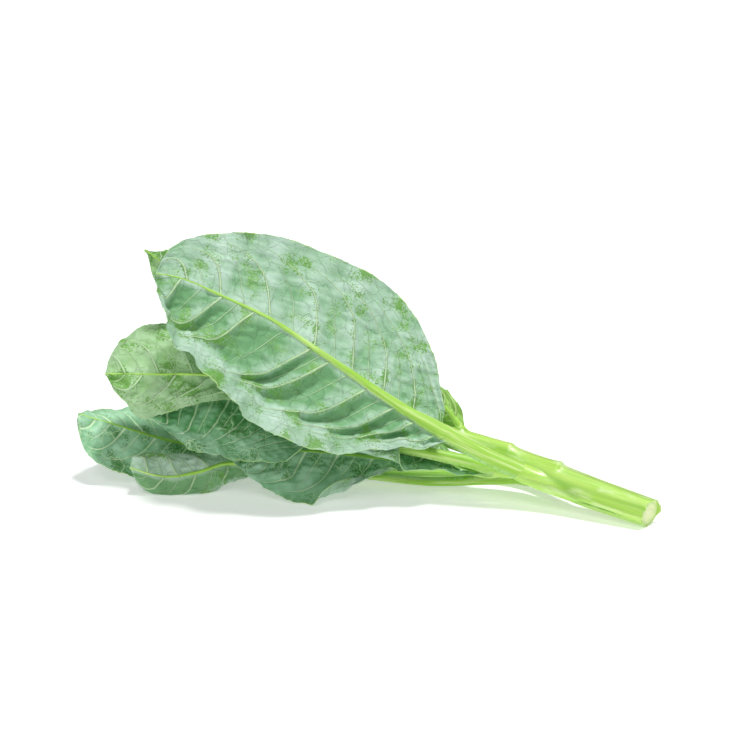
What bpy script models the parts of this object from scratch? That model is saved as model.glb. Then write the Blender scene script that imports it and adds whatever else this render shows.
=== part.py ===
"""One shoot of Chinese kale, cut at the foot and laid down on its leaves.

The stem and each leaf are separate closed solids. A leaf is one loft: a round petiole that flattens
into a thin, cupped and waved blade, with the midrib standing out of its underside. Each petiole is cut
to the stem's surface. Lengths are in millimetres until a mesh is made, and z is 0 on the table.
"""

import math

import bmesh
import bpy
import numpy as np

MM = 0.001

# Moves the shoot from the frame it was laid out in, so that the middle of its footprint is the origin
PLACE = np.array((8.8, -17.7, 0.0))

GAP = 0.3
BLADE_THICKNESS = 0.8
BLADE_REST_HEIGHT = 0.45
PETIOLE_TOP = 0.55
PETIOLE_UNDER = 1.0
RIB_TOP = 0.12
RIB_UNDER = 0.95

# The share of the columns, from the middle out, that covers the midrib, and how fast a petiole opens
RIB_COLUMNS = 0.2
OPENING_MM = 9.0

# The share of a side's width that a crease takes to turn
CREASE_WIDTH = 0.22

# Stations along the petiole, stations along the blade, and columns across
FINE = (6, 17, 10)
COARSE = (5, 13, 8)

STEM_PATH = (
    (148.4, -44.0, 7.9), (122.0, -29.5, 12.3), (100.0, -16.5, 17.2), (73.0, 0.0, 23.2),
    (50.0, 10.5, 28.8), (14.0, 20.0, 36.5), (-12.0, 26.0, 43.5),
)
STEM_RADII = (7.8, 8.5, 8.3, 7.3, 6.2, 5.0, 3.4)
STEM_SIDES = 20
STEM_STATIONS = 34
STEM_RIDGES = 5
STEM_RIDGE_HEIGHT = 0.035
CUT_SLANT = 0.22

# Where a leaf was trimmed off the stem: distance from the cut, angle round it, height, length
SCARS = ((56.0, 95.0, 2.4, 9.0), (87.0, 95.0, 2.2, 22.0))

GREEN_STEM = ("stem_green", (0.38, 0.68, 0.07, 1.0), 0.38)
GREEN_UNDERSIDE = ("leaf_underside_green", (0.42, 0.62, 0.40, 1.0), 0.55)
GREEN_UPPER = ("leaf_upper_green", (0.13, 0.27, 0.15, 1.0), 0.5)
GREEN_YOUNG = ("young_leaf_green", (0.30, 0.58, 0.06, 1.0), 0.45)

# Each leaf's spine runs from the stem's heart, along the petiole and the midrib, to the tip. roll turns
# the upper face round the spine: 0 faces up, 90 faces +Y and 180 faces down. foot is the spine point
# where the blade begins, and widths holds places along the blade and the widths there of its two sides.
# The first side is towards -Y at roll 0. fold, bend and curl turn a side towards its upper face, in
# degrees: at the rib, evenly, and near the margin. crease turns it along a line, and adds the share of
# the side's width where that line runs. Waves lift the margin by so many millimetres, so many
# times along the blade.
LEAVES = {
    "leaf_top": {
        "spine": ((128, -33, 11.5), (108, -25.5, 13.5), (94, -20, 16), (77, -15.5, 22), (61, -13, 28.7),
                  (36, -8, 42.3), (14, -1, 53.5), (-33, 7, 84.5), (-57, 10, 100.5), (-84, 12, 113.5),
                  (-106, 12, 123.5), (-120, 10, 127)),
        "roll": (150, 150, 150, 148, 146, 140, 138, 138, 138, 137, 136, 135),
        "foot": 5, "petiole": (5.4, 4.6), "rib": (3.9, 0.6),
        "widths": ((0, 0.02, 0.07, 0.14, 0.3, 0.44, 0.6, 0.68, 0.76, 0.8, 0.86, 0.91, 0.97, 1),
                   (6, 12, 22, 37, 55, 58, 53, 50, 45, 42, 36, 29, 15, 3),
                   (12, 17, 21, 32, 53, 59, 56, 54, 46, 41, 41, 34, 22, 4)),
        "fold": (4, 10), "bend": (-8, 18), "curl": (-18, 0), "crease": ((0, 0.5), (-44, 0.6)),
        "wave": (2.2, 2.0), "waves": (3.3, 0.2), "grid": FINE, "material": GREEN_UNDERSIDE,
    },
    "leaf_left": {
        "spine": ((95, -12, 18.5), (86, -7.5, 19), (78, -6.5, 17.6), (64, -5, 18.5), (53, -4, 21.5),
                  (28, 0, 26), (6, 3, 30), (-31, 13, 44.5), (-60, 18, 59), (-95, 19, 65.5), (-127, 19, 66),
                  (-151.5, 17, 67)),
        "roll": (150, 150, 150, 148, 147, 146, 142, 138, 134, 132, 130, 128),
        "foot": 6, "petiole": (4.0, 3.2), "rib": (3.0, 0.6),
        "widths": ((0, 0.1, 0.25, 0.4, 0.56, 0.7, 0.8, 0.88, 0.95, 0.975, 1),
                   (4, 9, 15, 20, 26, 32, 36, 34, 25, 17, 3), (4, 6, 9, 11, 12, 17, 22, 25, 13, 8, 3)),
        "fold": (-6, 6), "bend": (4, 20), "curl": (0, 10), "crease": ((32, 0.42), (0, 0.5)),
        "wave": (2.0, 1.2), "waves": (2.7, 0.5), "grid": FINE, "material": GREEN_UNDERSIDE,
    },
    "leaf_under": {
        "spine": ((86, -8, 19), (74, -1, 16.2), (61, 3, 13), (34, 7, 19.5), (0, 13, 31), (-42, 23, 45.5),
                  (-85, 24, 50.8), (-112, 21, 46.6), (-127, 16, 43.3)),
        "roll": (0, 0, 0, -5, -14, -28, -33, -34, -35),
        "foot": 2, "petiole": (3.6, 3.0), "rib": (3.0, 0.6),
        "widths": ((0, 0.06, 0.14, 0.22, 0.3, 0.38, 0.46, 0.6, 0.74, 0.86, 0.95, 1),
                   (4, 11, 13.5, 15, 19, 25, 37, 42, 43, 38, 23, 3),
                   (4, 6, 8, 11, 20, 38, 58, 76, 54, 20, 8, 2)),
        "fold": (0, -16), "bend": (0, -80), "curl": (-5, -5), "crease": ((0, 0.5), (0, 0.5)),
        "wave": (2.2, 2.5), "waves": (2.6, 0.1), "grid": FINE, "material": GREEN_UPPER,
    },
    "leaf_resting": {
        "spine": ((60, 7, 26), (50, 15, 17), (30, 19, 12.5), (5, 17, 16.5), (-20, 14, 20.5), (-42, 13, 22.5),
                  (-65, 9, 24.5), (-84, 2, 25)),
        "roll": (-10, -10, -15, -30, -40, -45, -45, -45),
        "foot": 2, "petiole": (3.2, 2.6), "rib": (2.4, 0.6),
        "widths": ((0, 0.1, 0.2, 0.28, 0.38, 0.46, 0.58, 0.74, 0.88, 1),
                   (4, 6.5, 11, 16, 24, 30, 37, 29, 19, 2), (4, 4, 6, 8, 11, 14, 16, 15, 11, 2)),
        "fold": (0, -35), "bend": (0, -5), "curl": (0, 0), "crease": ((0, 0.5), (0, 0.5)),
        "wave": (1.5, 1.0), "waves": (2.2, 0.6), "grid": COARSE, "material": GREEN_UPPER,
    },
    "leaf_curled": {
        "spine": ((98, -15, 17), (88, 0, 11), (64, 9, 6.5), (30, 12, 4), (-10, 22, 4), (-50, 24.5, 6.5),
                  (-83, 8, 16.5), (-101, 4, 12.5), (-118.5, 3, 10.5), (-138, 2, 16)),
        "roll": (60, 60, 60, 60, 80, 110, 122, 125, 125, 125),
        "foot": 5, "petiole": (3.4, 2.6), "rib": (2.4, 0.6),
        "widths": ((0, 0.2, 0.5, 0.75, 0.86, 0.93, 1),
                   (4, 10, 20, 25, 23.5, 20, 12), (4, 9, 17, 19, 16.5, 9, 2)),
        "fold": (0, 0), "bend": (75, 60), "curl": (30, 40), "crease": ((0, 0.5), (0, 0.5)),
        "wave": (0.8, 0.6), "waves": (1.7, 0.3), "grid": COARSE, "material": GREEN_UNDERSIDE,
    },
    "leaf_far_left": {
        "spine": ((114, -25, 14), (104, -9, 9), (80, 16, 4), (40, 27, 1.5), (-10, 33, 1.5), (-45, 41, 5),
                  (-78, 43, 11), (-112, 38, 18), (-128, 38, 22), (-150, 36, 30), (-170.5, 32, 38)),
        "roll": (20, 20, 20, 10, 0, -10, -30, -45, -48, -50, -50),
        "foot": 6, "petiole": (3.6, 2.6), "rib": (2.4, 0.6),
        "widths": ((0, 0.2, 0.45, 0.7, 0.9, 1), (4, 13, 25, 28, 22, 6), (4, 14, 25, 25, 11, 2)),
        "fold": (0, -38), "bend": (5, -3), "curl": (0, 0), "crease": ((0, 0.5), (0, 0.5)),
        "wave": (1.5, 1.5), "waves": (2.0, 0.8), "grid": COARSE, "material": GREEN_UPPER,
    },
    "leaf_behind": {
        "spine": ((10, 21, 37.5), (-8, 36, 45), (-36, 45, 64), (-65, 47, 86), (-95, 46, 106),
                  (-130, 43, 132)),
        "roll": (80, 90, 95, 95, 100, 110),
        "foot": 2, "petiole": (3.0, 2.4), "rib": (2.2, 0.5),
        "widths": ((0, 0.15, 0.4, 0.65, 0.85, 1), (3, 12, 24, 22, 11, 2), (3, 10, 18, 18, 12, 2)),
        "fold": (5, 5), "bend": (30, 0), "curl": (10, 10), "crease": ((0, 0.5), (0, 0.5)),
        "wave": (1.5, 1.5), "waves": (2.4, 0.4), "grid": COARSE, "material": GREEN_UNDERSIDE,
    },
    "leaf_young": {
        "spine": ((52, 9.5, 28.5), (47, 14, 38), (39, 18, 47), (26, 22, 56), (10, 26, 64)),
        "roll": (100, 100, 100, 105, 110),
        "foot": 1, "petiole": (2.6, 2.2), "rib": (1.8, 0.5),
        "widths": ((0, 0.08, 0.2, 0.4, 0.7, 0.9, 1), (6, 7.5, 8, 8.5, 8, 5, 1),
                   (8, 11, 13, 13, 10, 6, 1)),
        "fold": (10, 10), "bend": (15, 15), "curl": (10, 10), "crease": ((0, 0.5), (0, 0.5)),
        "wave": (1.0, 1.0), "waves": (2.0, 0.4), "grid": (3, 9, 8), "material": GREEN_YOUNG,
    },
}

# The heart's three small leaves, which grow together from the tip of the stem, and its buds
HEART_LEAVES = (
    {
        "spine": ((-10, 25.6, 43), (-18, 28.5, 49), (-27, 31, 60), (-38, 32, 74)),
        "roll": (95, 95, 100, 105), "foot": 1, "petiole": (2.2, 1.9), "rib": (1.5, 0.5),
        "widths": ((0, 0.2, 0.5, 0.8, 1), (2.5, 7, 9, 6, 1), (2.5, 5, 6, 4, 1)),
    },
    {
        "spine": ((-10, 25.6, 43), (-21, 30, 46), (-34, 34, 49), (-48, 35, 56)),
        "roll": (20, 25, 30, 30), "foot": 1, "petiole": (2.2, 1.8), "rib": (1.4, 0.5),
        "widths": ((0, 0.2, 0.5, 0.8, 1), (2.5, 5, 6, 5, 1), (2.5, 6, 8, 5, 1)),
    },
    {
        "spine": ((-10, 25.6, 43), (-16, 26.5, 50), (-18, 26, 60), (-25, 27, 72)),
        "roll": (70, 75, 80, 80), "foot": 1, "petiole": (2.0, 1.7), "rib": (1.3, 0.5),
        "widths": ((0, 0.2, 0.5, 0.8, 1), (2.5, 5, 7, 5, 1), (2.5, 5, 7, 5, 1)),
    },
)
HEART_SHARED = {
    "fold": (12, 12), "bend": (20, 20), "curl": (10, 10), "crease": ((0, 0.5), (0, 0.5)),
    "wave": (0.6, 0.6), "waves": (2.0, 0.4),
    "grid": (3, 7, 6), "material": GREEN_YOUNG,
}
BUDS = (
    (-15.5, 28.5, 47.5), (-17.5, 30.5, 50.0), (-15.0, 29.0, 51.0), (-20.0, 27.5, 51.5),
    (-17.5, 28.5, 53.5),
)
BUD_RADIUS = 2.3


def hermite(knots, values, at):
    """Values on a smooth curve through the given ones, at the places asked for."""
    knots = np.asarray(knots, float)
    values = np.asarray(values, float)
    if values.ndim == 1:
        values = values[:, None]
    slopes = np.empty_like(values)
    slopes[1:-1] = (values[2:] - values[:-2]) / (knots[2:] - knots[:-2])[:, None]
    slopes[0] = (values[1] - values[0]) / (knots[1] - knots[0])
    slopes[-1] = (values[-1] - values[-2]) / (knots[-1] - knots[-2])
    at = np.clip(np.asarray(at, float), knots[0], knots[-1])
    span = np.clip(np.searchsorted(knots, at, side="right") - 1, 0, len(knots) - 2)
    width = (knots[span + 1] - knots[span])[:, None]
    u = (at - knots[span])[:, None] / width
    return (
        values[span] * (2 * u**3 - 3 * u**2 + 1)
        + slopes[span] * width * (u**3 - 2 * u**2 + u)
        + values[span + 1] * (3 * u**2 - 2 * u**3)
        + slopes[span + 1] * width * (u**3 - u**2)
    )


def unit(vectors):
    return vectors / np.linalg.norm(vectors, axis=-1, keepdims=True)


def chord_knots(points):
    """Distance along the straight lines that join the points."""
    steps = np.linalg.norm(np.diff(np.asarray(points, float), axis=0), axis=1)
    return np.concatenate(([0.0], np.cumsum(steps)))


def frames_along(points, at):
    """Places, directions and upward normals on a smooth curve through the points."""
    knots = chord_knots(points)
    places = hermite(knots, points, at)
    step = knots[-1] * 1e-3
    ahead = hermite(knots, points, at + step)
    behind = hermite(knots, points, at - step)
    along = unit(ahead - behind)
    up = np.array((0.0, 0.0, 1.0)) - along * along[:, 2:3]
    return places, along, unit(up)


def smooth_step(x):
    x = np.clip(x, 0.0, 1.0)
    return x * x * (3 - 2 * x)


def side_section(turns, half_width, reach):
    """Sideways and upward offsets on one side of a blade, at shares of its width from the rib out."""
    fold, bend, curl, crease, place = turns
    share = np.linspace(0.0, 1.0, 41)
    creased = smooth_step((share - place) / CREASE_WIDTH + 0.5)
    angle = np.radians(fold + bend * share + curl * share**3 + crease * creased)
    step = share[1]
    side = np.concatenate(([0.0], np.cumsum((np.cos(angle[1:]) + np.cos(angle[:-1])) * step / 2)))
    rise = np.concatenate(([0.0], np.cumsum((np.sin(angle[1:]) + np.sin(angle[:-1])) * step / 2)))
    tilt = np.interp(reach, share, angle)
    return np.interp(reach, share, side) * half_width, np.interp(reach, share, rise) * half_width, tilt


def leaf_surface(leaf, petiole_stations, blade_stations, columns):
    """A leaf's middle surface as a grid of points, with its normals and the half thickness each way."""
    knots = chord_knots(leaf["spine"])
    foot = knots[leaf["foot"]]
    along_petiole = np.linspace(0.0, foot, petiole_stations, endpoint=False)
    even = np.linspace(0.0, 1.0, blade_stations)
    along_blade = foot + (knots[-1] - foot) * (0.55 * even + 0.45 * (1 - np.cos(math.pi * even)) / 2)
    at = np.concatenate((along_petiole, along_blade))
    places, along, up = frames_along(leaf["spine"], at)
    roll = np.radians(hermite(knots, leaf["roll"], at))
    face = np.cos(roll) * up + np.sin(roll) * np.cross(along, up)
    side_axis = np.cross(along, face)

    share = np.clip((at - foot) / (knots[-1] - foot), 0.0, 1.0)
    in_blade = at >= foot
    petiole = np.interp(at, (0.0, foot), leaf["petiole"])
    rib = leaf["rib"][1] + (leaf["rib"][0] - leaf["rib"][1]) * (1 - share) ** 1.3
    radius = np.where(in_blade, np.minimum(rib, petiole), petiole)
    radius = np.where(in_blade, radius + (petiole - leaf["rib"][0]) * (1 - smooth_step(share * 8)), radius)
    half_widths = hermite(leaf["widths"][0], np.transpose(leaf["widths"][1:]), share)

    v = np.linspace(-1.0, 1.0, columns + 1)
    grid = np.zeros((len(at), len(v), 3))
    above = np.zeros((len(at), len(v)))
    below = np.zeros((len(at), len(v)))
    for i in range(len(at)):
        for sign, side in ((-1, 0), (1, 1)):
            chosen = v <= 0 if sign < 0 else v > 0
            reach = np.abs(v[chosen])
            half = max(half_widths[i, side], radius[i]) if in_blade[i] else radius[i]
            opening = smooth_step((half - radius[i]) / OPENING_MM)
            round_one = radius[i] * np.sin(math.pi / 2 * reach)
            beyond = np.clip((reach - RIB_COLUMNS) / (1 - RIB_COLUMNS), 0.0, 1.0)
            flat_one = radius[i] * np.minimum(reach / RIB_COLUMNS, 1.0) + (half - radius[i]) * beyond
            distance = round_one + (flat_one - round_one) * opening
            turns = [leaf[name][side] * opening for name in ("fold", "bend", "curl")]
            turns += [leaf["crease"][side][0] * opening, leaf["crease"][side][1]]
            sideways, rise, tilt = side_section(turns, half, distance / half)
            frequency, phase = leaf["waves"]
            turn = 2 * math.pi * (frequency * share[i] + phase + 0.37 * side)
            swell = math.sin(turn) + 0.35 * math.sin(2.3 * turn + 1.0)
            lift = leaf["wave"][side] * swell * smooth_step(share[i] * 6) * smooth_step((1 - share[i]) * 5)
            rise = rise + lift * (distance / half) ** 2 * opening * np.cos(tilt)
            sideways = sideways - lift * (distance / half) ** 2 * opening * np.sin(tilt)
            grid[i, chosen] = (
                places[i] + sign * sideways[:, None] * side_axis[i] + rise[:, None] * face[i]
            )
            bulge = np.sqrt(np.clip(1 - (distance / radius[i]) ** 2, 0.0, 1.0)) * radius[i]
            above[i, chosen] = BLADE_THICKNESS / 2 + bulge * (
                PETIOLE_TOP + (RIB_TOP - PETIOLE_TOP) * opening
            )
            below[i, chosen] = BLADE_THICKNESS / 2 + bulge * (
                PETIOLE_UNDER + (RIB_UNDER - PETIOLE_UNDER) * opening
            )
    grid[..., 2] = rest_on_table(grid[..., 2], above, below)
    across = np.gradient(grid, axis=1)
    forward = np.gradient(grid, axis=0)
    normals = unit(np.cross(across, forward))
    return grid, normals, above, below


def rest_on_table(height, above, below):
    """Heights that level off where a blade would sink into the table."""
    floor = np.maximum(np.maximum(above, below), BLADE_REST_HEIGHT)
    softness = 1.5
    return floor + softness * np.logaddexp(0.0, (height - floor) / softness)


def closed_sheet(name, upper, lower, material):
    """A closed solid between two grids of points, both split into triangles the same way."""
    rows, columns = upper.shape[:2]
    points = np.concatenate((upper.reshape(-1, 3), lower.reshape(-1, 3)))
    half = rows * columns

    def corner(i, j, under=False):
        return i * columns + j + (half if under else 0)

    faces = []
    for i in range(rows - 1):
        for j in range(columns - 1):
            a, b, c, d = corner(i, j), corner(i, j + 1), corner(i + 1, j + 1), corner(i + 1, j)
            faces += [(a, b, c), (a, c, d)]
            faces += [(half + a, half + c, half + b), (half + a, half + d, half + c)]
    rim = [(0, j) for j in range(columns)] + [(i, columns - 1) for i in range(1, rows)]
    rim += [(rows - 1, j) for j in range(columns - 2, -1, -1)] + [(i, 0) for i in range(rows - 2, 0, -1)]
    for (i, j), (k, m) in zip(rim, rim[1:] + rim[:1]):
        faces += [(corner(i, j), corner(i, j, True), corner(k, m, True)),
                  (corner(i, j), corner(k, m, True), corner(k, m))]
    return solid(name, points, faces, material)


def solid(name, points, faces, material):
    """An object from points in millimetres and faces, with its normals pointing out."""
    mesh = bpy.data.meshes.new(name)
    mesh.from_pydata(((points + PLACE) * MM).tolist(), [], faces)
    work = bmesh.new()
    work.from_mesh(mesh)
    bmesh.ops.recalc_face_normals(work, faces=work.faces)
    work.to_mesh(mesh)
    work.free()
    mesh.shade_smooth()
    mesh.set_sharp_from_angle(angle=math.radians(50))
    mesh.materials.append(finish(*material))
    obj = bpy.data.objects.new(name, mesh)
    bpy.context.scene.collection.objects.link(obj)
    return obj


def finish(name, colour, roughness):
    """The named material, made the first time it is asked for."""
    material = bpy.data.materials.get(name)
    if material is None:
        material = bpy.data.materials.new(name)
        material.use_nodes = True
        shader = material.node_tree.nodes["Principled BSDF"]
        shader.inputs["Base Color"].default_value = colour
        shader.inputs["Roughness"].default_value = roughness
        shader.inputs["Metallic"].default_value = 0.0
    return material


def stem_rings(grow=0.0):
    """Rings of points along the stem, from the cut to the tip."""
    knots = chord_knots(STEM_PATH)
    at = np.linspace(0.0, knots[-1], STEM_STATIONS)
    places, along, up = frames_along(STEM_PATH, at)
    radii = hermite(knots, STEM_RADII, at)[:, 0]
    left = np.cross(up, along)
    angle = np.linspace(0.0, 2 * math.pi, STEM_SIDES, endpoint=False)
    ridges = 1 + STEM_RIDGE_HEIGHT * np.cos(STEM_RIDGES * angle + 0.6)
    reach = radii[:, None] * ridges[None, :]
    for distance, direction, height, length in SCARS:
        beyond = (at - distance) / length
        ramp = np.where(beyond > 0, np.exp(-beyond * 1.1), np.exp(beyond * 7))
        spread = np.exp(-(((np.degrees(angle) - direction + 180) % 360 - 180) / 34.0) ** 2)
        reach = reach + height * ramp[:, None] * spread[None, :]
    reach = reach + grow
    rings = (
        places[:, None]
        + reach[..., None] * (np.cos(angle)[None, :, None] * left[:, None]
                              + np.sin(angle)[None, :, None] * up[:, None])
    )
    slant = CUT_SLANT * (rings[0] - places[0]) @ left[0]
    rings[0] += (slant[:, None] - grow) * along[0]
    rings[-1] += grow * along[-1]
    return rings


def stem_solid(name, material, grow=0.0):
    """The stem as a closed solid, or a copy of it that is larger all round by grow."""
    rings = stem_rings(grow)
    stations, sides = rings.shape[:2]
    ends = np.stack((rings[0].mean(axis=0), rings[-1].mean(axis=0)))
    points = np.concatenate((rings.reshape(-1, 3), ends))
    faces = []
    for i in range(stations - 1):
        for j in range(sides):
            k = (j + 1) % sides
            a, b, c, d = i * sides + j, i * sides + k, (i + 1) * sides + k, (i + 1) * sides + j
            faces += [(a, b, c), (a, c, d)]
    last = (stations - 1) * sides
    for j in range(sides):
        k = (j + 1) % sides
        faces += [(stations * sides, k, j), (stations * sides + 1, last + j, last + k)]
    return solid(name, points, faces, material)


def bud(name, centre):
    """A round bud, slightly longer than it is wide."""
    work = bmesh.new()
    bmesh.ops.create_icosphere(work, subdivisions=1, radius=BUD_RADIUS)
    points = np.array([vert.co for vert in work.verts]) * (1.0, 1.0, 1.25) + centre
    faces = [tuple(vert.index for vert in face.verts) for face in work.faces]
    work.free()
    return solid(name, points, faces, GREEN_YOUNG)


def combine(obj, other, operation):
    """Adds the other solid to the object, or takes it out of it, and hides the other."""
    modifier = obj.modifiers.new(operation.lower(), "BOOLEAN")
    modifier.operation = operation
    modifier.solver = "EXACT"
    modifier.object = other
    other.hide_render = True
    other.display_type = "WIRE"


def leaf_solid(name, leaf):
    grid, normals, above, below = leaf_surface(leaf, *leaf["grid"])
    upper = grid + normals * above[..., None]
    lower = grid - normals * below[..., None]
    return closed_sheet(name, upper, lower, leaf["material"])


def main():
    for obj in list(bpy.data.objects):
        bpy.data.objects.remove(obj)
    stem_solid("stem", GREEN_STEM)
    room_for_stem = stem_solid("room_for_stem", GREEN_STEM, GAP)
    for name, leaf in LEAVES.items():
        combine(leaf_solid(name, leaf), room_for_stem, "DIFFERENCE")
    heart = leaf_solid("heart", HEART_LEAVES[0] | HEART_SHARED)
    for i, leaf in enumerate(HEART_LEAVES[1:]):
        combine(heart, leaf_solid(f"heart_leaf_{i}", leaf | HEART_SHARED), "UNION")
    for i, centre in enumerate(BUDS):
        combine(heart, bud(f"bud_{i}", centre), "UNION")
    combine(heart, room_for_stem, "DIFFERENCE")


main()
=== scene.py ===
# %% [markdown]
# # A cut shoot of Chinese kale
#
# Chinese kale is a leafy cabbage that is sold as whole young shoots. Each has a thick, juicy stem, and
# round blue-green leaves on long stalks, with a bloom of wax that makes them look dusty. This shoot was
# cut at the foot and laid down on its leaves, so its largest leaf turns its pale underside to us.
#
# The plain solids of the stem and leaves come from the frame. This script puts finer pieces in their
# places: thin blades with raised veins, puckers and toothed margins, and a stem that the leaf stalks
# grow out of. Everything is worked out in millimetres and turned to metres when a mesh is made.

# %% The fixed frame
import math

import bpy
import numpy as np
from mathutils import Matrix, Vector


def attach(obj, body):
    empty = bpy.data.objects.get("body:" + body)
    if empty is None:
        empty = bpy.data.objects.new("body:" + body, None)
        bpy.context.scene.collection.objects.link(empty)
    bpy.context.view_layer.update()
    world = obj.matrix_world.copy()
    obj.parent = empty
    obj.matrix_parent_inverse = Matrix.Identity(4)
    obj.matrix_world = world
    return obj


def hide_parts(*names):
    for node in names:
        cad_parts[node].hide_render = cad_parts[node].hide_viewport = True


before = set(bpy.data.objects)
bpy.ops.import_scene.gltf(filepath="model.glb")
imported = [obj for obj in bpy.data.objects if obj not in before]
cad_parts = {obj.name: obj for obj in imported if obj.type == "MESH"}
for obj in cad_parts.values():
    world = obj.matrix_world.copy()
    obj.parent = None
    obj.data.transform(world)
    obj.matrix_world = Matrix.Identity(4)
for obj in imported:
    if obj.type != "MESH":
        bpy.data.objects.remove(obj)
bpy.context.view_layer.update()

# %% [markdown]
# ## Colours and nodes
#
# Colours are easiest to judge on a screen, so they are written as sRGB hex values, but a shader works
# in linear light. One function turns the first into the second. A material is a tree of nodes, and
# adding a node takes the same three steps each time: make it, set it up, and link or fill its inputs.
# The other functions do those steps, so that each line below reads as one operation.

# %% Helpers for materials
def linear(hex_colour):
    """The linear colour, with alpha, of an sRGB hex value."""
    channels = [int(hex_colour[i:i + 2], 16) / 255 for i in (1, 3, 5)]
    return (*[c / 12.92 if c <= 0.04045 else ((c + 0.055) / 1.055) ** 2.4 for c in channels], 1.0)


def fill(tree, made, inputs):
    """Fills inputs of a node, each with a value or with a link from another node."""
    in_use = [socket for socket in made.inputs if socket.enabled]
    for key, value in inputs.items():
        socket = in_use[key] if isinstance(key, int) else next(s for s in in_use if s.name == key)
        if isinstance(value, bpy.types.Node):
            value = next(output for output in value.outputs if output.enabled)
        if isinstance(value, bpy.types.NodeSocket):
            tree.links.new(value, socket)
        else:
            socket.default_value = value


def node(tree, kind, inputs=None, **settings):
    """Adds a node, sets it up and fills its inputs. kind is its type without the word ShaderNode."""
    made = tree.nodes.new("ShaderNode" + kind)
    for name, value in settings.items():
        setattr(made, name, value)
    fill(tree, made, inputs or {})
    return made


def new_material(name):
    """A material, its tree of nodes, and its Principled shader."""
    material = bpy.data.materials.new(name)
    material.use_nodes = True
    return material, material.node_tree, material.node_tree.nodes["Principled BSDF"]


print("pale wax is", [round(c, 3) for c in linear("#C6E2D0")], "in linear light")

# %% [markdown]
# ## Leaf skin
#
# A leaf's skin is a clear, slightly glossy cuticle over green flesh. On this plant it carries a bloom
# of fine wax, which scatters light and hides the green. The wax lies in soft clouds, thicker here and
# thinner there, and it is rubbed off in groups of specks, most of all along raised veins. Veins show as
# lines of another green, raised on the underside and sunken on the upper side.
#
# A picture could be wrapped round the leaf, but it would blur close up. Here the mesh carries the
# measures instead: millimetres along and across the leaf, a number that counts the side veins, how far
# the margin is, how thin the wax should be, and how much painted shade falls on each place. The
# material turns those into lines and patches that stay sharp at any distance. The nets of small veins
# are Voronoi patterns, whose cell edges meet three at a time as real ones do: one with cells of 10 mm,
# and a fainter one with cells of 2.6 mm inside it.

# %% Leaf skin as a function of its colours
NET_MM = 10.0
FINE_NET_MM = 2.6
GRAIN_MM = 0.55
CLOUD_MM = 20.0
WORN_PATCH_MM = 15.0
WORN_SPECK_MM = 1.05
MARGIN_LINE_MM = 0.55
STREAK_MM = (38.0, 1.7)


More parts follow.
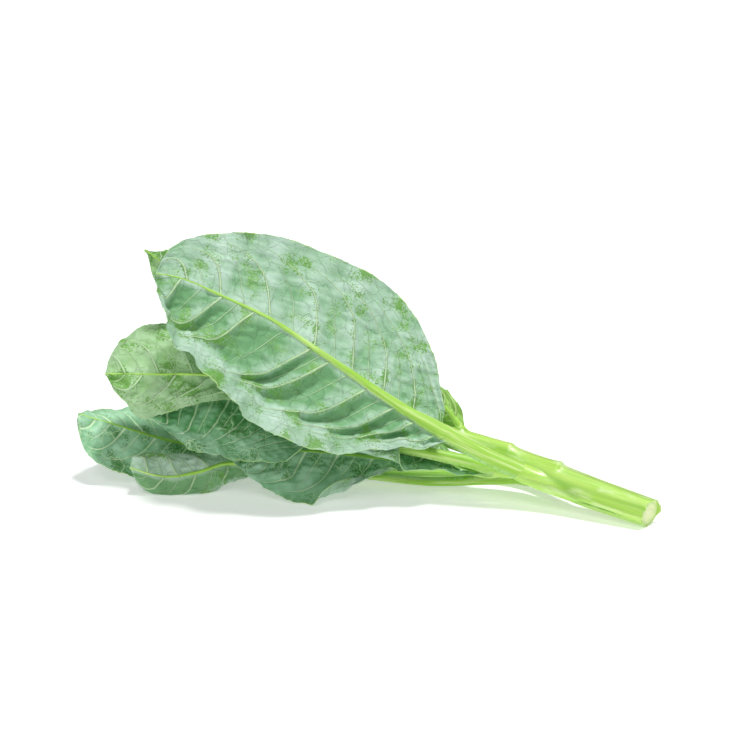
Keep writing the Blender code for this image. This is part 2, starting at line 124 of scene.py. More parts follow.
def leaf_skin(name, colours, raised, net_seen, worn, roughness):
    """Waxy leaf skin. raised is 1 where veins stand out of the surface, and negative where they sink.

    net_seen is how much the net of fine veins shows, and worn says where wax goes and how much of it.
    """
    material, tree, shader = new_material(name)
    parts = {}
    for label in ("veins", "blade", "wear_and_shade", "place"):
        measure = node(tree, "Attribute", attribute_name="leaf_" + label).outputs["Vector"]
        parts[label] = node(tree, "SeparateXYZ", {"Vector": measure}).outputs
    place = measure

    rib = node(tree, "MapRange", {"Value": parts["blade"]["Y"], "From Min": 1.2, "From Max": 0.85},
               interpolation_type="SMOOTHSTEP")
    off_rib = node(tree, "Math", {0: 1.0, 1: rib}, operation="SUBTRACT")
    off_rib = node(tree, "Math", {0: off_rib, 1: parts["blade"]["Z"]}, operation="MULTIPLY")

    # Side veins lie where the count is whole, and smaller ones halfway between them
    veins = []
    for shift, width, outer, inner in ((0.0, "Y", 1.4, 0.5), (0.5, "Z", 1.6, 0.4)):
        count = node(tree, "Math", {0: parts["veins"]["X"], 1: shift}, operation="ADD")
        swing = node(tree, "Math", {0: count, 1: 0.5}, operation="PINGPONG")
        away = node(tree, "Math", {0: swing, 1: parts["veins"][width]}, operation="MULTIPLY")
        veins.append(node(tree, "MapRange", {"Value": away, "From Min": outer, "From Max": inner},
                          interpolation_type="SMOOTHSTEP"))
    side, small = veins

    # Two nets of fine veins, bent a little so that their cells aren't straight-sided
    bend = node(tree, "TexNoise", {"Vector": place, "Scale": 1 / 6, "Detail": 2.0})
    bent = node(tree, "VectorMath", {0: bend.outputs["Color"], 1: (6.0, 6.0, 0.0), 2: place},
                operation="MULTIPLY_ADD")
    nets = []
    for size, width in ((NET_MM, 0.05), (FINE_NET_MM, 0.1)):
        cells = node(tree, "TexVoronoi", {"Vector": bent, "Scale": 1 / size},
                     feature="DISTANCE_TO_EDGE", voronoi_dimensions="2D")
        nets.append(node(tree, "MapRange", {"Value": cells, "From Min": width, "From Max": 0.0},
                         interpolation_type="SMOOTHSTEP"))
    net, fine_net = nets

    # Wax is worn off in patches, and each patch is made of specks. Elsewhere it lies in soft clouds
    patch, speck, cloud, grain = (
        node(tree, "TexNoise", {"Vector": place, "Scale": 1 / size, "Detail": detail, "Roughness": rough})
        for size, detail, rough in ((WORN_PATCH_MM, 5.0, 0.6), (WORN_SPECK_MM, 3.0, 0.6),
                                    (CLOUD_MM, 6.0, 0.58), (GRAIN_MM, 2.0, 0.5))
    )
    stain = node(tree, "MapRange", {"Value": patch, "From Min": 0.54, "From Max": 0.74, "To Max": 0.6})
    speck = node(tree, "Math", {0: speck, 1: parts["wear_and_shade"]["X"]}, operation="ADD")
    both = node(tree, "Math", {0: patch, 1: 1.5, 2: speck}, operation="MULTIPLY_ADD")
    bare = node(tree, "MapRange",
                {"Value": both, "From Min": worn[0], "From Max": worn[1], "To Max": worn[2]},
                interpolation_type="SMOOTHSTEP")
    # Painted shade: the mesh's second wear number adds thin-wax green in hollows and on a side in shade, and
    # takes it away on a side painted lighter
    cloud = node(tree, "Math", {0: cloud, 1: parts["wear_and_shade"]["Y"]}, operation="ADD")
    cloud = node(tree, "MapRange", {"Value": cloud, "From Min": 0.3, "From Max": 0.86})

    # Fine veins and the margin's pale line show in some places and not in others
    seen = node(tree, "MapRange", {"Value": patch, "From Min": 0.4, "From Max": 0.6})
    fine_lines = node(tree, "Math", {0: fine_net, 1: 0.4 * net_seen}, operation="MULTIPLY")
    fine_lines = node(tree, "Math", {0: net, 1: net_seen, 2: fine_lines}, operation="MULTIPLY_ADD")
    fine_lines = node(tree, "Math", {0: fine_lines, 1: seen}, operation="MULTIPLY")
    lines = node(tree, "Math", {0: small, 1: 0.6, 2: side}, operation="MULTIPLY_ADD")
    fine_lines, lines = (
        node(tree, "Math", {0: drawn, 1: off_rib}, operation="MULTIPLY", use_clamp=True)
        for drawn in (fine_lines, lines)
    )
    margin = node(tree, "MapRange",
                  {"Value": parts["blade"]["X"], "From Min": MARGIN_LINE_MM * 1.5, "From Max": 0.1},
                  interpolation_type="SMOOTHSTEP")
    margin = node(tree, "Math", {0: margin, 1: seen}, operation="MULTIPLY")

    # The midrib and stalk are lime green with streaks, paler towards the tip
    stretched = node(tree, "VectorMath",
                     {0: place, 1: (1 / STREAK_MM[0], 1 / STREAK_MM[1], 0.0)}, operation="MULTIPLY")
    streak = node(tree, "TexNoise", {"Vector": stretched, "Scale": 1.0, "Detail": 3.0})
    pale_streak = node(tree, "MapRange",
                       {"Value": streak, "From Min": 0.52, "From Max": 0.36, "To Max": 0.75})
    towards_tip = node(tree, "MapRange",
                       {"Value": parts["place"]["X"], "From Min": 80.0, "From Max": 190.0})

    # Colours are laid over one another, each with the share that shows
    colour, stalk = linear(colours["wax"]), linear(colours["stalk"])
    for share, tint in ((cloud, "thin_wax"), (parts["wear_and_shade"]["Z"], "lush"), (stain, "stain"),
                        (bare, "bare"), (fine_lines, "fine_vein"), (lines, "vein"), (margin, "margin")):
        colour = node(tree, "Mix", {"Factor": share, "A": colour, "B": linear(colours[tint])},
                      data_type="RGBA")
    for share, tint in ((streak, "stalk_streak"), (pale_streak, "pale_streak"), (towards_tip, "rib_tip")):
        stalk = node(tree, "Mix", {"Factor": share, "A": stalk, "B": linear(colours[tint])},
                     data_type="RGBA")
    colour = node(tree, "Mix", {"Factor": rib, "A": colour, "B": stalk}, data_type="RGBA")

    # Heights in millimetres
    height = 0.0
    for part, tall in ((side, 0.6), (small, 0.45), (net, 0.26), (fine_net, 0.07)):
        height = node(tree, "Math", {0: part, 1: tall * raised, 2: height}, operation="MULTIPLY_ADD")
    height = node(tree, "Math", {0: height, 1: off_rib}, operation="MULTIPLY")
    for part, tall in ((grain, 0.12), (cloud, -0.2), (streak, 0.3)):
        height = node(tree, "Math", {0: part, 1: tall, 2: height}, operation="MULTIPLY_ADD")
    bump = node(tree, "Bump", {"Height": height, "Distance": 0.001, "Strength": 1.0})
    gloss = node(tree, "MapRange", {"Value": bare, "To Min": roughness, "To Max": roughness - 0.14})
    fill(tree, shader, {
        "Base Color": colour, "Normal": bump, "Roughness": gloss, "IOR": 1.45,
        "Subsurface Weight": 0.1, "Subsurface Radius": (0.4, 1.0, 0.3), "Subsurface Scale": 0.001,
        "Sheen Weight": 0.05, "Sheen Roughness": 0.5, "Sheen Tint": linear("#DDF0E6"),
    })
    return material


print("one kind of skin, with", NET_MM, "and", FINE_NET_MM, "mm nets of veins")

# %% [markdown]
# ## The three leaf skins
#
# The underside of a grown leaf has the thickest bloom, so it looks pale and slightly blue, with
# yellow-green specks where it is rubbed. The upper side is a deeper blue-green with thin pale veins.
# Young leaves at the heart have hardly any wax yet, and show their fresh yellow-green.
#
# Leaf wax has an index of refraction of about 1.45. A polished leaf would have a roughness of 0.3, and
# the bloom takes it to 0.5 and more, so highlights are wide and soft. Where the wax is gone the
# roughness drops by 0.14, so the bare specks glint a little.

# %% Underside, upper side and young leaf
# The thin-wax green is also the painted shade of hollows and of a side in shade.
UNDERSIDE = leaf_skin(
    "bloomed_leaf_underside",
    {"wax": "#C6E2D0", "thin_wax": "#74AC76", "lush": "#B4DA84", "stain": "#86BA66", "bare": "#6DA942",
     "vein": "#C6E6B4", "fine_vein": "#A9CF98", "margin": "#BBDF8E", "stalk": "#B4E45C",
     "stalk_streak": "#97CF45", "pale_streak": "#DDF5A4", "rib_tip": "#B6E46A"},
    raised=1, net_seen=0.3, worn=(1.4, 1.5, 0.9), roughness=0.52,
)
UPPER = leaf_skin(
    "bloomed_leaf_upper_side",
    {"wax": "#AFDDBA", "thin_wax": "#5FA566", "lush": "#7FB06A", "stain": "#609D55", "bare": "#4C8B42",
     "vein": "#DDF5CF", "fine_vein": "#C2E6B6", "margin": "#B9DD92", "stalk": "#A9DB5A",
     "stalk_streak": "#8FC848", "pale_streak": "#C9EC92", "rib_tip": "#AED69A"},
    raised=-0.3, net_seen=0.95, worn=(1.34, 1.5, 0.8), roughness=0.5,
)
YOUNG = leaf_skin(
    "young_leaf_skin",
    {"wax": "#B8E27F", "thin_wax": "#92CC50", "lush": "#A6D962", "stain": "#8CC84A", "bare": "#79B935",
     "vein": "#D2F0A0", "fine_vein": "#A9DA66", "margin": "#D3F0A0", "stalk": "#B7E665",
     "stalk_streak": "#A2D850", "pale_streak": "#DDF5A4", "rib_tip": "#BCE57E"},
    raised=1, net_seen=0.5, worn=(1.25, 1.6, 0.6), roughness=0.42,
)
print("made", UNDERSIDE.name, UPPER.name, YOUNG.name)

# %% [markdown]
# ## Curves and small tools
#
# Every leaf follows a spine, which is a short list of given points. A cubic curve through them gives
# the place, direction and upward normal at any distance along. The same function also draws the
# leaf's width and its twist, so a dozen numbers describe a whole outline.

# %% Curves through a few points
MM = 0.001
PLACE = np.array((8.8, -17.7, 0.0))


def hermite(knots, values, at):
    """Values on a smooth curve through the given ones, at the places asked for."""
    knots = np.asarray(knots, float)
    values = np.asarray(values, float)
    if values.ndim == 1:
        values = values[:, None]
    slopes = np.empty_like(values)
    slopes[1:-1] = (values[2:] - values[:-2]) / (knots[2:] - knots[:-2])[:, None]
    slopes[0] = (values[1] - values[0]) / (knots[1] - knots[0])
    slopes[-1] = (values[-1] - values[-2]) / (knots[-1] - knots[-2])
    at = np.clip(np.asarray(at, float), knots[0], knots[-1])
    span = np.clip(np.searchsorted(knots, at, side="right") - 1, 0, len(knots) - 2)
    width = (knots[span + 1] - knots[span])[:, None]
    u = (at - knots[span])[:, None] / width
    return (
        values[span] * (2 * u**3 - 3 * u**2 + 1)
        + slopes[span] * width * (u**3 - 2 * u**2 + u)
        + values[span + 1] * (3 * u**2 - 2 * u**3)
        + slopes[span + 1] * width * (u**3 - u**2)
    )


def unit(vectors):
    return vectors / np.linalg.norm(vectors, axis=-1, keepdims=True)


def chord_knots(points):
    """Distance along the straight lines that join the points."""
    steps = np.linalg.norm(np.diff(np.asarray(points, float), axis=0), axis=1)
    return np.concatenate(([0.0], np.cumsum(steps)))


def frames_along(points, at):
    """Places, directions and upward normals on a smooth curve through the points."""
    knots = chord_knots(points)
    places = hermite(knots, points, at)
    step = knots[-1] * 1e-3
    along = unit(hermite(knots, points, at + step) - hermite(knots, points, at - step))
    up = np.array((0.0, 0.0, 1.0)) - along * along[:, 2:3]
    return places, along, unit(up)


def smooth_step(x):
    x = np.clip(x, 0.0, 1.0)
    return x * x * (3 - 2 * x)


def rolling(seed, x, y, shortest, longest, terms=8):
    """Gentle random hills between about -1 and 1, with wavelengths between the two lengths."""
    rng = np.random.default_rng(seed)
    total = np.zeros(np.broadcast(x, y).shape)
    for length in np.geomspace(shortest, longest, terms):
        heading, start = rng.uniform(0, 2 * math.pi, 2)
        total += np.sin((x * math.cos(heading) + y * math.sin(heading)) * 2 * math.pi / length + start)
    return total / math.sqrt(2 * terms)


print("a curve through 0, 1, 0 peaks at", round(float(hermite((0, 1, 2), (0, 1, 0), [1.0])[0, 0]), 2))

# %% [markdown]
# ## The leaves' driving sizes
#
# These are the same spines, twists and widths that the plain solids were made from, so each fine leaf
# lies where its solid is. "veins" adds where the side veins leave the midrib, in millimetres from the
# foot of the blade, for each side. On the largest leaf they are set one by one, because it is the one
# that shows, and on the others they are evenly spaced. "pucker" is how far the blade bulges between
# them: it is strongest near the foot of an old leaf, because the blade grows faster than its veins.
#
# The other words come in pairs too, one number for each side. "fold", "bend" and "curl" turn the blade
# up at the midrib, evenly, and near the margin. "crease" turns it over along a line, and "rolls" does
# the same for a stretch of the margin only, as where a leaf hangs over its neighbour. "wings" are the
# narrow strips of blade that run down a stalk. The pair after "wings" in a plain leaf is painted shade
# on the inner part of each side: a darker thin-wax green on a side that lies in shade, and a paler one,
# where the number is negative, on a side that catches light. "worn" is where wax is rubbed, and "lush"
# how much fresh green shows through. What a leaf doesn't name has the value of a plain leaf. "grid"
# gives the rows of its stalk, the rows of its blade, and the columns.

# %% Spines, widths and folds
PLAIN_LEAF = {"crease": ((0, 0.5), (0, 0.5)), "rolls": (), "wings": (0.0, 0.0, 1.0), "thin": (0.0, 0.0),
              "worn": 0.0, "lush": 0.0}
LEAVES = {
    "leaf_top": {
        "spine": ((128, -33, 11.5), (108, -25.5, 13.5), (94, -20, 16), (77, -15.5, 22), (61, -13, 28.7),
                  (36, -8, 42.3), (14, -1, 53.5), (-33, 7, 84.5), (-57, 10, 100.5), (-84, 12, 113.5),
                  (-106, 12, 123.5), (-120, 10, 127)),
        "roll": (150, 150, 150, 148, 146, 140, 138, 138, 138, 137, 136, 135),
        "foot": 5, "petiole": (5.4, 4.6), "rib": (3.9, 0.6),
        "widths": ((0, 0.02, 0.07, 0.14, 0.3, 0.44, 0.6, 0.68, 0.76, 0.8, 0.86, 0.91, 0.97, 1),
                   (6, 12, 22, 37, 55, 58, 53, 50, 45, 42, 36, 29, 15, 3),
                   (12, 17, 21, 32, 53, 59, 56, 54, 46, 41, 41, 34, 22, 4)),
        "fold": (4, 10), "bend": (-8, 18), "curl": (-18, 0), "crease": ((0, 0.5), (-44, 0.6)),
        "wave": (2.2, 2.0), "waves": (3.3, 0.2),
        "veins": ((17.4, 37.1, 58.0, 83.4, 112.7, 142.5, 162.8),
                  (12.8, 27.1, 45.2, 71.4, 84.1, 121.6, 141.4, 165.8)),
        "pucker": (2.5, 4.6), "thin": (0.0, 0.3),
        "wings": (1.0, 3.0, 38.0), "grid": (40, 220, 144),
        "outside": "leaf_underside",
    },
    "leaf_left": {
        "spine": ((95, -12, 18.5), (86, -7.5, 19), (78, -6.5, 17.6), (64, -5, 18.5), (53, -4, 21.5),
                  (28, 0, 26), (6, 3, 30), (-31, 13, 44.5), (-60, 18, 59), (-95, 19, 65.5), (-127, 19, 66),
                  (-151.5, 17, 67)),
        "roll": (150, 150, 150, 148, 147, 146, 142, 138, 134, 132, 130, 128),
        "foot": 6, "petiole": (4.0, 3.2), "rib": (3.0, 0.6),
        "widths": ((0, 0.1, 0.25, 0.4, 0.56, 0.7, 0.8, 0.88, 0.95, 0.975, 1),
                   (4, 9, 15, 20, 26, 32, 36, 34, 25, 17, 3), (4, 6, 9, 11, 12, 17, 22, 25, 13, 8, 3)),
        "fold": (-6, 6), "bend": (4, 20), "curl": (0, 10), "crease": ((32, 0.42), (0, 0.5)),
        "wave": (2.0, 1.2), "waves": (2.7, 0.5),
        "veins": 22.0, "pucker": (1.6, 1.6), "worn": 0.06, "lush": 0.42, "wings": (8.0, 0.5, 80.0),
        "grid": (36, 180, 100), "outside": "leaf_underside",
    },
    "leaf_under": {
        "spine": ((86, -8, 19), (74, -1, 16.2), (61, 3, 13), (34, 7, 19.5), (0, 13, 31), (-42, 23, 45.5),
                  (-85, 24, 50.8), (-112, 21, 46.6), (-127, 16, 43.3)),
        "roll": (0, 0, 0, -5, -14, -28, -33, -34, -35),
        "foot": 2, "petiole": (3.6, 3.0), "rib": (3.0, 0.6),
        "widths": ((0, 0.06, 0.14, 0.22, 0.3, 0.38, 0.46, 0.6, 0.74, 0.86, 0.95, 1),
                   (4, 11, 13.5, 21, 28, 31, 37, 42, 43, 38, 23, 3),
                   (4, 6, 8, 11, 20, 38, 58, 76, 54, 20, 8, 2)),
        "fold": (0, -16), "bend": (0, -80), "curl": (-5, -5), "crease": ((0, 0.68), (0, 0.5)),
        "wave": (2.2, 2.5), "waves": (2.6, 0.1), "rolls": ((0, 0.2, 0.34, 170),),
        "veins": 19.0, "pucker": (1.5, 1.4), "thin": (0.4, 0.0),
        "grid": (16, 190, 130), "outside": "leaf_upper",
    },
    "leaf_resting": {
        "spine": ((60, 7, 26), (50, 15, 17), (30, 19, 12.5), (5, 17, 16.5), (-20, 14, 20.5), (-42, 13, 22.5),
                  (-65, 9, 24.5), (-84, 2, 25)),
        "roll": (-10, -10, -15, -30, -40, -45, -45, -45),
        "foot": 2, "petiole": (3.2, 2.6), "rib": (2.4, 0.6),
        "widths": ((0, 0.1, 0.2, 0.28, 0.38, 0.46, 0.58, 0.74, 0.88, 1),
                   (4, 7, 13, 20, 29, 34, 37, 29, 19, 2), (4, 4, 6, 8, 11, 14, 16, 15, 11, 2)),
        "fold": (0, -35), "bend": (0, -5), "curl": (0, 0), "crease": ((0, 0.8), (0, 0.5)),
        "wave": (1.5, 1.0), "waves": (2.2, 0.6), "rolls": ((0, 0.14, 0.42, 165),),
        "veins": 18.0, "pucker": (1.5, 0.7), "grid": (24, 130, 100),
        "outside": "leaf_upper",
    },
    "leaf_curled": {
        "spine": ((98, -15, 17), (88, 0, 11), (64, 9, 6.5), (30, 12, 4), (-10, 22, 4), (-50, 24.5, 6.5),
                  (-83, 8, 16.5), (-101, 4, 12.5), (-118.5, 3, 10.5), (-138, 2, 16)),
        "roll": (60, 60, 60, 60, 80, 110, 122, 125, 125, 125),
        "foot": 5, "petiole": (3.4, 2.6), "rib": (2.4, 0.6),
        "widths": ((0, 0.2, 0.5, 0.75, 0.86, 0.93, 1),
                   (4, 10, 20, 25, 23.5, 20, 12), (4, 9, 17, 19, 16.5, 9, 2)),
        "fold": (0, 0), "bend": (75, 60), "curl": (30, 40),
        "wave": (0.8, 0.6), "waves": (1.7, 0.3),
        "veins": 18.0, "pucker": (1.2, 1.2), "worn": -0.02, "lush": 0.1, "thin": (-0.3, 0.8),
        "grid": (50, 110, 90), "outside": "leaf_underside",
    },
    "leaf_far_left": {
        "spine": ((114, -25, 14), (104, -9, 9), (80, 16, 4), (40, 27, 1.5), (-10, 33, 1.5), (-45, 41, 5),
                  (-78, 43, 11), (-112, 38, 18), (-128, 38, 22), (-150, 36, 30), (-170.5, 32, 38)),
        "roll": (20, 20, 20, 10, 0, -10, -30, -45, -48, -50, -50),
        "foot": 6, "petiole": (3.6, 2.6), "rib": (2.4, 0.6),
        "widths": ((0, 0.2, 0.45, 0.7, 0.9, 1), (4, 13, 25, 28, 22, 6), (4, 14, 25, 25, 11, 2)),
        "fold": (0, -38), "bend": (5, -3), "curl": (0, 0),
        "wave": (1.5, 1.5), "waves": (2.0, 0.8),
        "veins": 19.0, "pucker": (1.4, 1.4), "grid": (60, 110, 90),
        "outside": "leaf_upper",
    },
    "leaf_behind": {
        "spine": ((10, 21, 37.5), (-8, 36, 45), (-36, 45, 64), (-65, 47, 86), (-95, 46, 106),
                  (-130, 43, 132)),
        "roll": (80, 90, 95, 95, 100, 110), "foot": 2, "petiole": (3.0, 2.4), "rib": (2.2, 0.5),
        "widths": ((0, 0.15, 0.4, 0.65, 0.85, 1), (3, 12, 24, 22, 11, 2), (3, 10, 18, 18, 12, 2)),
        "fold": (5, 5), "bend": (30, 0), "curl": (10, 10),
        "wave": (1.5, 1.5), "waves": (2.4, 0.4),
        "veins": 18.0, "pucker": (1.2, 1.2), "worn": 0.08, "lush": 0.5, "grid": (20, 120, 90),
        "outside": "leaf_underside",
    },
    "leaf_young": {
        "spine": ((52, 9.5, 28.5), (47, 14, 38), (39, 18, 47), (26, 22, 56), (10, 26, 64)),
        "roll": (100, 100, 100, 105, 110), "foot": 1, "petiole": (2.6, 2.2), "rib": (1.8, 0.5),
        "widths": ((0, 0.08, 0.2, 0.4, 0.7, 0.9, 1), (6, 7.5, 8, 8.5, 8, 5, 1), (8, 11, 13, 13, 10, 6, 1)),
        "fold": (10, 10), "bend": (15, 15), "curl": (10, 10),
        "wave": (1.0, 1.0), "waves": (2.0, 0.4),
        "veins": 8.0, "pucker": (0.9, 0.9), "grid": (8, 80, 70),
        "outside": "young_leaf",
    },
}
for leaf in LEAVES.values():
    for word, usual in PLAIN_LEAF.items():
        leaf.setdefault(word, usual)
print(len(LEAVES), "large leaves")

# %% [markdown]
# ## Side veins
#
# A side vein leaves the midrib at about sixty degrees, runs nearly straight, and then swings towards
# the tip before it reaches the margin. Drawing each one as a curve would need dozens of curves. It is
# simpler to give every place on the blade a number that is whole on a side vein and grows evenly from
# one vein to the next. To find it, a place is slid back along the curve of a vein to the midrib, and
# the veins' feet are counted there.

# %% Counting the side veins
SWEEP = 0.47
SWEEP_NEAR_MARGIN = 0.5
MARGIN_SWING = 0.8


def vein_feet(leaf, blade_length):
    """Where side veins leave the midrib, for each side, in millimetres from the foot of the blade."""
    if not isinstance(leaf["veins"], float):
        return [np.array(side) for side in leaf["veins"]]
    count = max(4, round(blade_length / leaf["veins"]))
    even = (np.arange(count) + 0.4) / count
    stretched = even ** 0.9 * blade_length
    return [stretched, stretched + 0.42 * leaf["veins"]]


def vein_count(feet, at_midrib):
    """The number of side veins passed on the way to a place on the midrib, with parts of a vein."""
    spare = 6
    before = feet[0] - (feet[1] - feet[0]) * np.arange(spare, 0, -1)
    after = feet[-1] + (feet[-1] - feet[-2]) * np.arange(1, spare + 1)
    knots = np.concatenate((before, feet, after))
    numbers = np.arange(len(knots)) - spare
    return hermite(knots, numbers, at_midrib.ravel())[:, 0].reshape(at_midrib.shape)


print("feet on the top leaf's near side, in mm:", LEAVES["leaf_top"]["veins"][1])

# %% [markdown]
# ## The blade
#
# A leaf is one sheet. Its stalk is round, and above the foot of the blade the same sheet opens out,
# while the midrib goes on as a ridge along its underside. So one grid of points can make all of it:
# rows run across, columns run along, and the middle fifth of the columns covers the midrib.
#
# A flat leaf bent by a modifier would be quicker to make, but its margin would stay even and its
# surface smooth. Here each row is bent by its own turns, the margin is waved and toothed, and then the
# whole surface is pushed out along its normals by a relief.

# %% One row of a blade, its size and its shape
THICKNESS = 0.5
MARGIN_THICKNESS = 0.3
REST_HEIGHT = 0.45
PETIOLE_TOP = 0.55
PETIOLE_UNDER = 1.0
RIB_TOP = 0.12
RIB_UNDER = 0.95
RIB_COLUMNS = 0.2
RIB_SHARE = 0.92
RIB_AT_TIP = 0.35
RIB_TAPER = 1.6
OPENING_MM = 9.0
CREASE_WIDTH = 0.22
TOOTH_SPACING = 7.0
TOOTH_HEIGHT = 0.9
RUFFLE_MM = 17.0
RUFFLE_HEIGHT = 0.8


def side_section(turns, half_width, reach):
    """Sideways and upward offsets on one side of a blade, at shares of its width from the rib out."""
    fold, bend, curl, crease, place = turns
    share = np.linspace(0.0, 1.0, 41)
    creased = smooth_step((share - place) / CREASE_WIDTH + 0.5)
    angle = np.radians(fold + bend * share + curl * share**3 + crease * creased)
    step = share[1]
    side = np.concatenate(([0.0], np.cumsum((np.cos(angle[1:]) + np.cos(angle[:-1])) * step / 2)))
    rise = np.concatenate(([0.0], np.cumsum((np.sin(angle[1:]) + np.sin(angle[:-1])) * step / 2)))
    tilt = np.interp(reach, share, angle)
    return np.interp(reach, share, side) * half_width, np.interp(reach, share, rise) * half_width, tilt


def row_section(leaf, seed, side, reach, width, radius, share, from_blade, fade):
    """One side of a row: distances from its middle, sideways and upward offsets, and how open it is."""
    opening = smooth_step((width - radius) / OPENING_MM)
    round_one = radius * np.sin(math.pi / 2 * reach)
    beyond = np.clip((reach - RIB_COLUMNS) / (1 - RIB_COLUMNS), 0.0, 1.0)
    flat_one = radius * np.minimum(reach / RIB_COLUMNS, 1.0) + (width - radius) * beyond
    out = round_one + (flat_one - round_one) * opening
    turns = [leaf[name][side] * opening for name in ("fold", "bend", "curl")]
    crease, place = leaf["crease"][side]
    for rolled_side, start, end, turn_over in leaf["rolls"]:
        if rolled_side == side:
            crease += turn_over * smooth_step((share - start) / 0.08) * (1 - smooth_step((share - end) / 0.2))
    sideways, rise, tilt = side_section((*turns, crease * opening, place), width, out / width)
    frequency, phase = leaf["waves"]
    turn = 2 * math.pi * (frequency * share + phase + 0.37 * side)
    swell = math.sin(turn) + 0.35 * math.sin(2.3 * turn + 1.0)
    lift = leaf["wave"][side] * swell * smooth_step(share * 6) * smooth_step((1 - share) * 5)
    ruffle_turn = 2 * math.pi * from_blade / RUFFLE_MM + 1.5 * math.sin(from_blade / 21 + side)
    ruffle = RUFFLE_HEIGHT * math.sin(ruffle_turn + seed) * fade
    raise_by = (lift * (out / width) ** 2 + ruffle * (out / width) ** 6) * opening
    return out, sideways - raise_by * np.sin(tilt), rise + raise_by * np.cos(tilt), opening


def teeth(seed, along):
    """How far the margin's teeth stand out, each one leaning towards the tip."""
    turn = along / TOOTH_SPACING + 0.8 * rolling(seed, along, 0.0, 20.0, 60.0)
    size = 0.6 + 0.4 * rolling(seed + 1, along, 0.0, 9.0, 40.0)
    return TOOTH_HEIGHT * size * (turn % 1.0) ** 2.5


def row_sizes(leaf, seed, at, foot, share, from_blade, fade):
    """The radius of the stalk or midrib in each row, and how far the blade reaches on either side."""
    in_blade = at >= foot
    petiole = np.interp(at, (0.0, foot), leaf["petiole"])
    rib = RIB_AT_TIP + (RIB_SHARE * leaf["rib"][0] - RIB_AT_TIP) * (1 - share) ** RIB_TAPER
    radius = np.where(in_blade, np.minimum(rib, petiole), petiole)
    radius = np.where(in_blade, radius + (petiole - leaf["rib"][0]) * (1 - smooth_step(share * 8)), radius)
    half_widths = hermite(leaf["widths"][0], np.transpose(leaf["widths"][1:]), share)
    wings = leaf["wings"]
    for side in (0, 1):
        half_widths[:, side] += teeth(seed + 10 * side, from_blade) * fade
        wing = wings[side] * smooth_step(from_blade / wings[2] + 1)
        wing += 0.25 * wing * rolling(seed + side, from_blade, 0.0, 3.0, 9.0)
        opens = (half_widths[:, side] - radius) * smooth_step(from_blade / 7 + 1)
        half_widths[:, side] = np.where(in_blade, half_widths[:, side], radius + np.maximum(wing, opens))
    return radius, half_widths


def rest_on_table(height, above, below):
    """Heights that level off where a blade would sink into the table."""
    floor = np.maximum(np.maximum(above, below), REST_HEIGHT)
    softness = 1.5
    return floor + softness * np.logaddexp(0.0, (height - floor) / softness)


def sheet_normals(grid):
    return unit(np.cross(np.gradient(grid, axis=1), np.gradient(grid, axis=0)))


print("teeth every", TOOTH_SPACING, "mm and ruffles every", RUFFLE_MM, "mm along the margin")

# %% [markdown]
# ## The relief
#
# The relief is drawn from the count of side veins. A sine that is low on each vein and high between two
# of them makes the puckers. On top of it come the ridges over the veins, a quilt of small pillows,
# gentle random hills and a fine crinkle. The puckers and the quilt die out towards the margin, where a
# real blade is smoother.

# %% Veins over the grid, and the relief between them
RIDGE_HEIGHT = 0.55
HILL_HEIGHT = 0.75
CRINKLE_HEIGHT = 0.3
QUILT_HEIGHT = 0.95
QUILT_MM = 10.0


def vein_numbers(leaf, seed, grid, v, from_foot, out_share, half, blade_length):
    """The count of side veins over the grid, and how fast it grows, per millimetre."""
    width = np.max(half, axis=1, keepdims=True)
    swept = width * (SWEEP * out_share + SWEEP_NEAR_MARGIN * (out_share / MARGIN_SWING) ** 5)
    wander = 2.0 * rolling(seed + 3, from_foot, out_share * 60, 25.0, 70.0) * out_share
    feet = vein_feet(leaf, blade_length)
    count = np.zeros(from_foot.shape)
    per_mm = np.zeros(from_foot.shape)
    for side, chosen in ((0, v <= 0), (1, v > 0)):
        part = vein_count(feet[side], (from_foot - swept + wander)[:, chosen])
        points = grid[:, chosen]
        down = np.gradient(part, axis=0) / np.linalg.norm(np.gradient(points, axis=0), axis=-1)
        across = np.gradient(part, axis=1) / np.linalg.norm(np.gradient(points, axis=1), axis=-1)
        count[:, chosen] = part
        per_mm[:, chosen] = np.hypot(down, across) + 1e-4
    return count, per_mm


def relief(leaf, seed, v, from_foot, distance, out_share, count, per_mm, opened, rib_share):
    """How far the blade stands out towards its upper side, in millimetres."""
    pucker = np.where(v <= 0, *leaf["pucker"])[None, :]
    part = (count - np.floor(count)) ** np.where(v <= 0, 1.0, 1.6)[None, :]
    between = np.abs(np.sin(math.pi * part)) ** 0.9
    ramp = smooth_step(out_share * 3.5) * (1 - 0.93 * smooth_step((out_share - 0.45) / 0.35))
    from_vein = np.abs(count - np.round(count)) / per_mm
    ridge = RIDGE_HEIGHT * np.exp(-((from_vein / 1.0) ** 2)) * (1 - smooth_step((out_share - 0.2) / 0.65))
    hills = HILL_HEIGHT * rolling(seed + 5, from_foot, distance, 9.0, 45.0)
    crinkle = CRINKLE_HEIGHT * rolling(seed + 7, from_foot, distance, 3.2, 8.0)
    shift = 1.5 * rolling(seed + 9, from_foot, distance, 12.0, 40.0)
    across_vein = np.abs(np.sin(math.pi * distance / QUILT_MM + shift))
    quilt = QUILT_HEIGHT * np.abs(np.sin(2 * math.pi * count)) * across_vein
    clear_of_rib = smooth_step((rib_share - 0.8) / 1.5)
    return opened * clear_of_rib * (
        pucker * (between - 0.6) * ramp - ridge + hills + crinkle + quilt * ramp
    )


print("pillows", QUILT_MM, "mm across, and ridges", RIDGE_HEIGHT, "mm high over the veins")

# %% [markdown]
# ## Measures for the skin
#
# The material can't know where a vein or the margin is, so each point of the mesh carries it. The
# hollows get a painted shade, a darker thin-wax green, so that they look deeper, and each side of a
# blade can get its own painted shade, or painted light where its number is negative. On an underside
# the wax is worn off the veins, because they stand out and rub. Veins get narrower towards the margin.

# %% Twelve numbers for each point
VEIN_HALF = (0.75, 0.55)
SMALL_VEIN_HALF = (0.45, 0.32)
WORN_ON_VEINS = 0.14


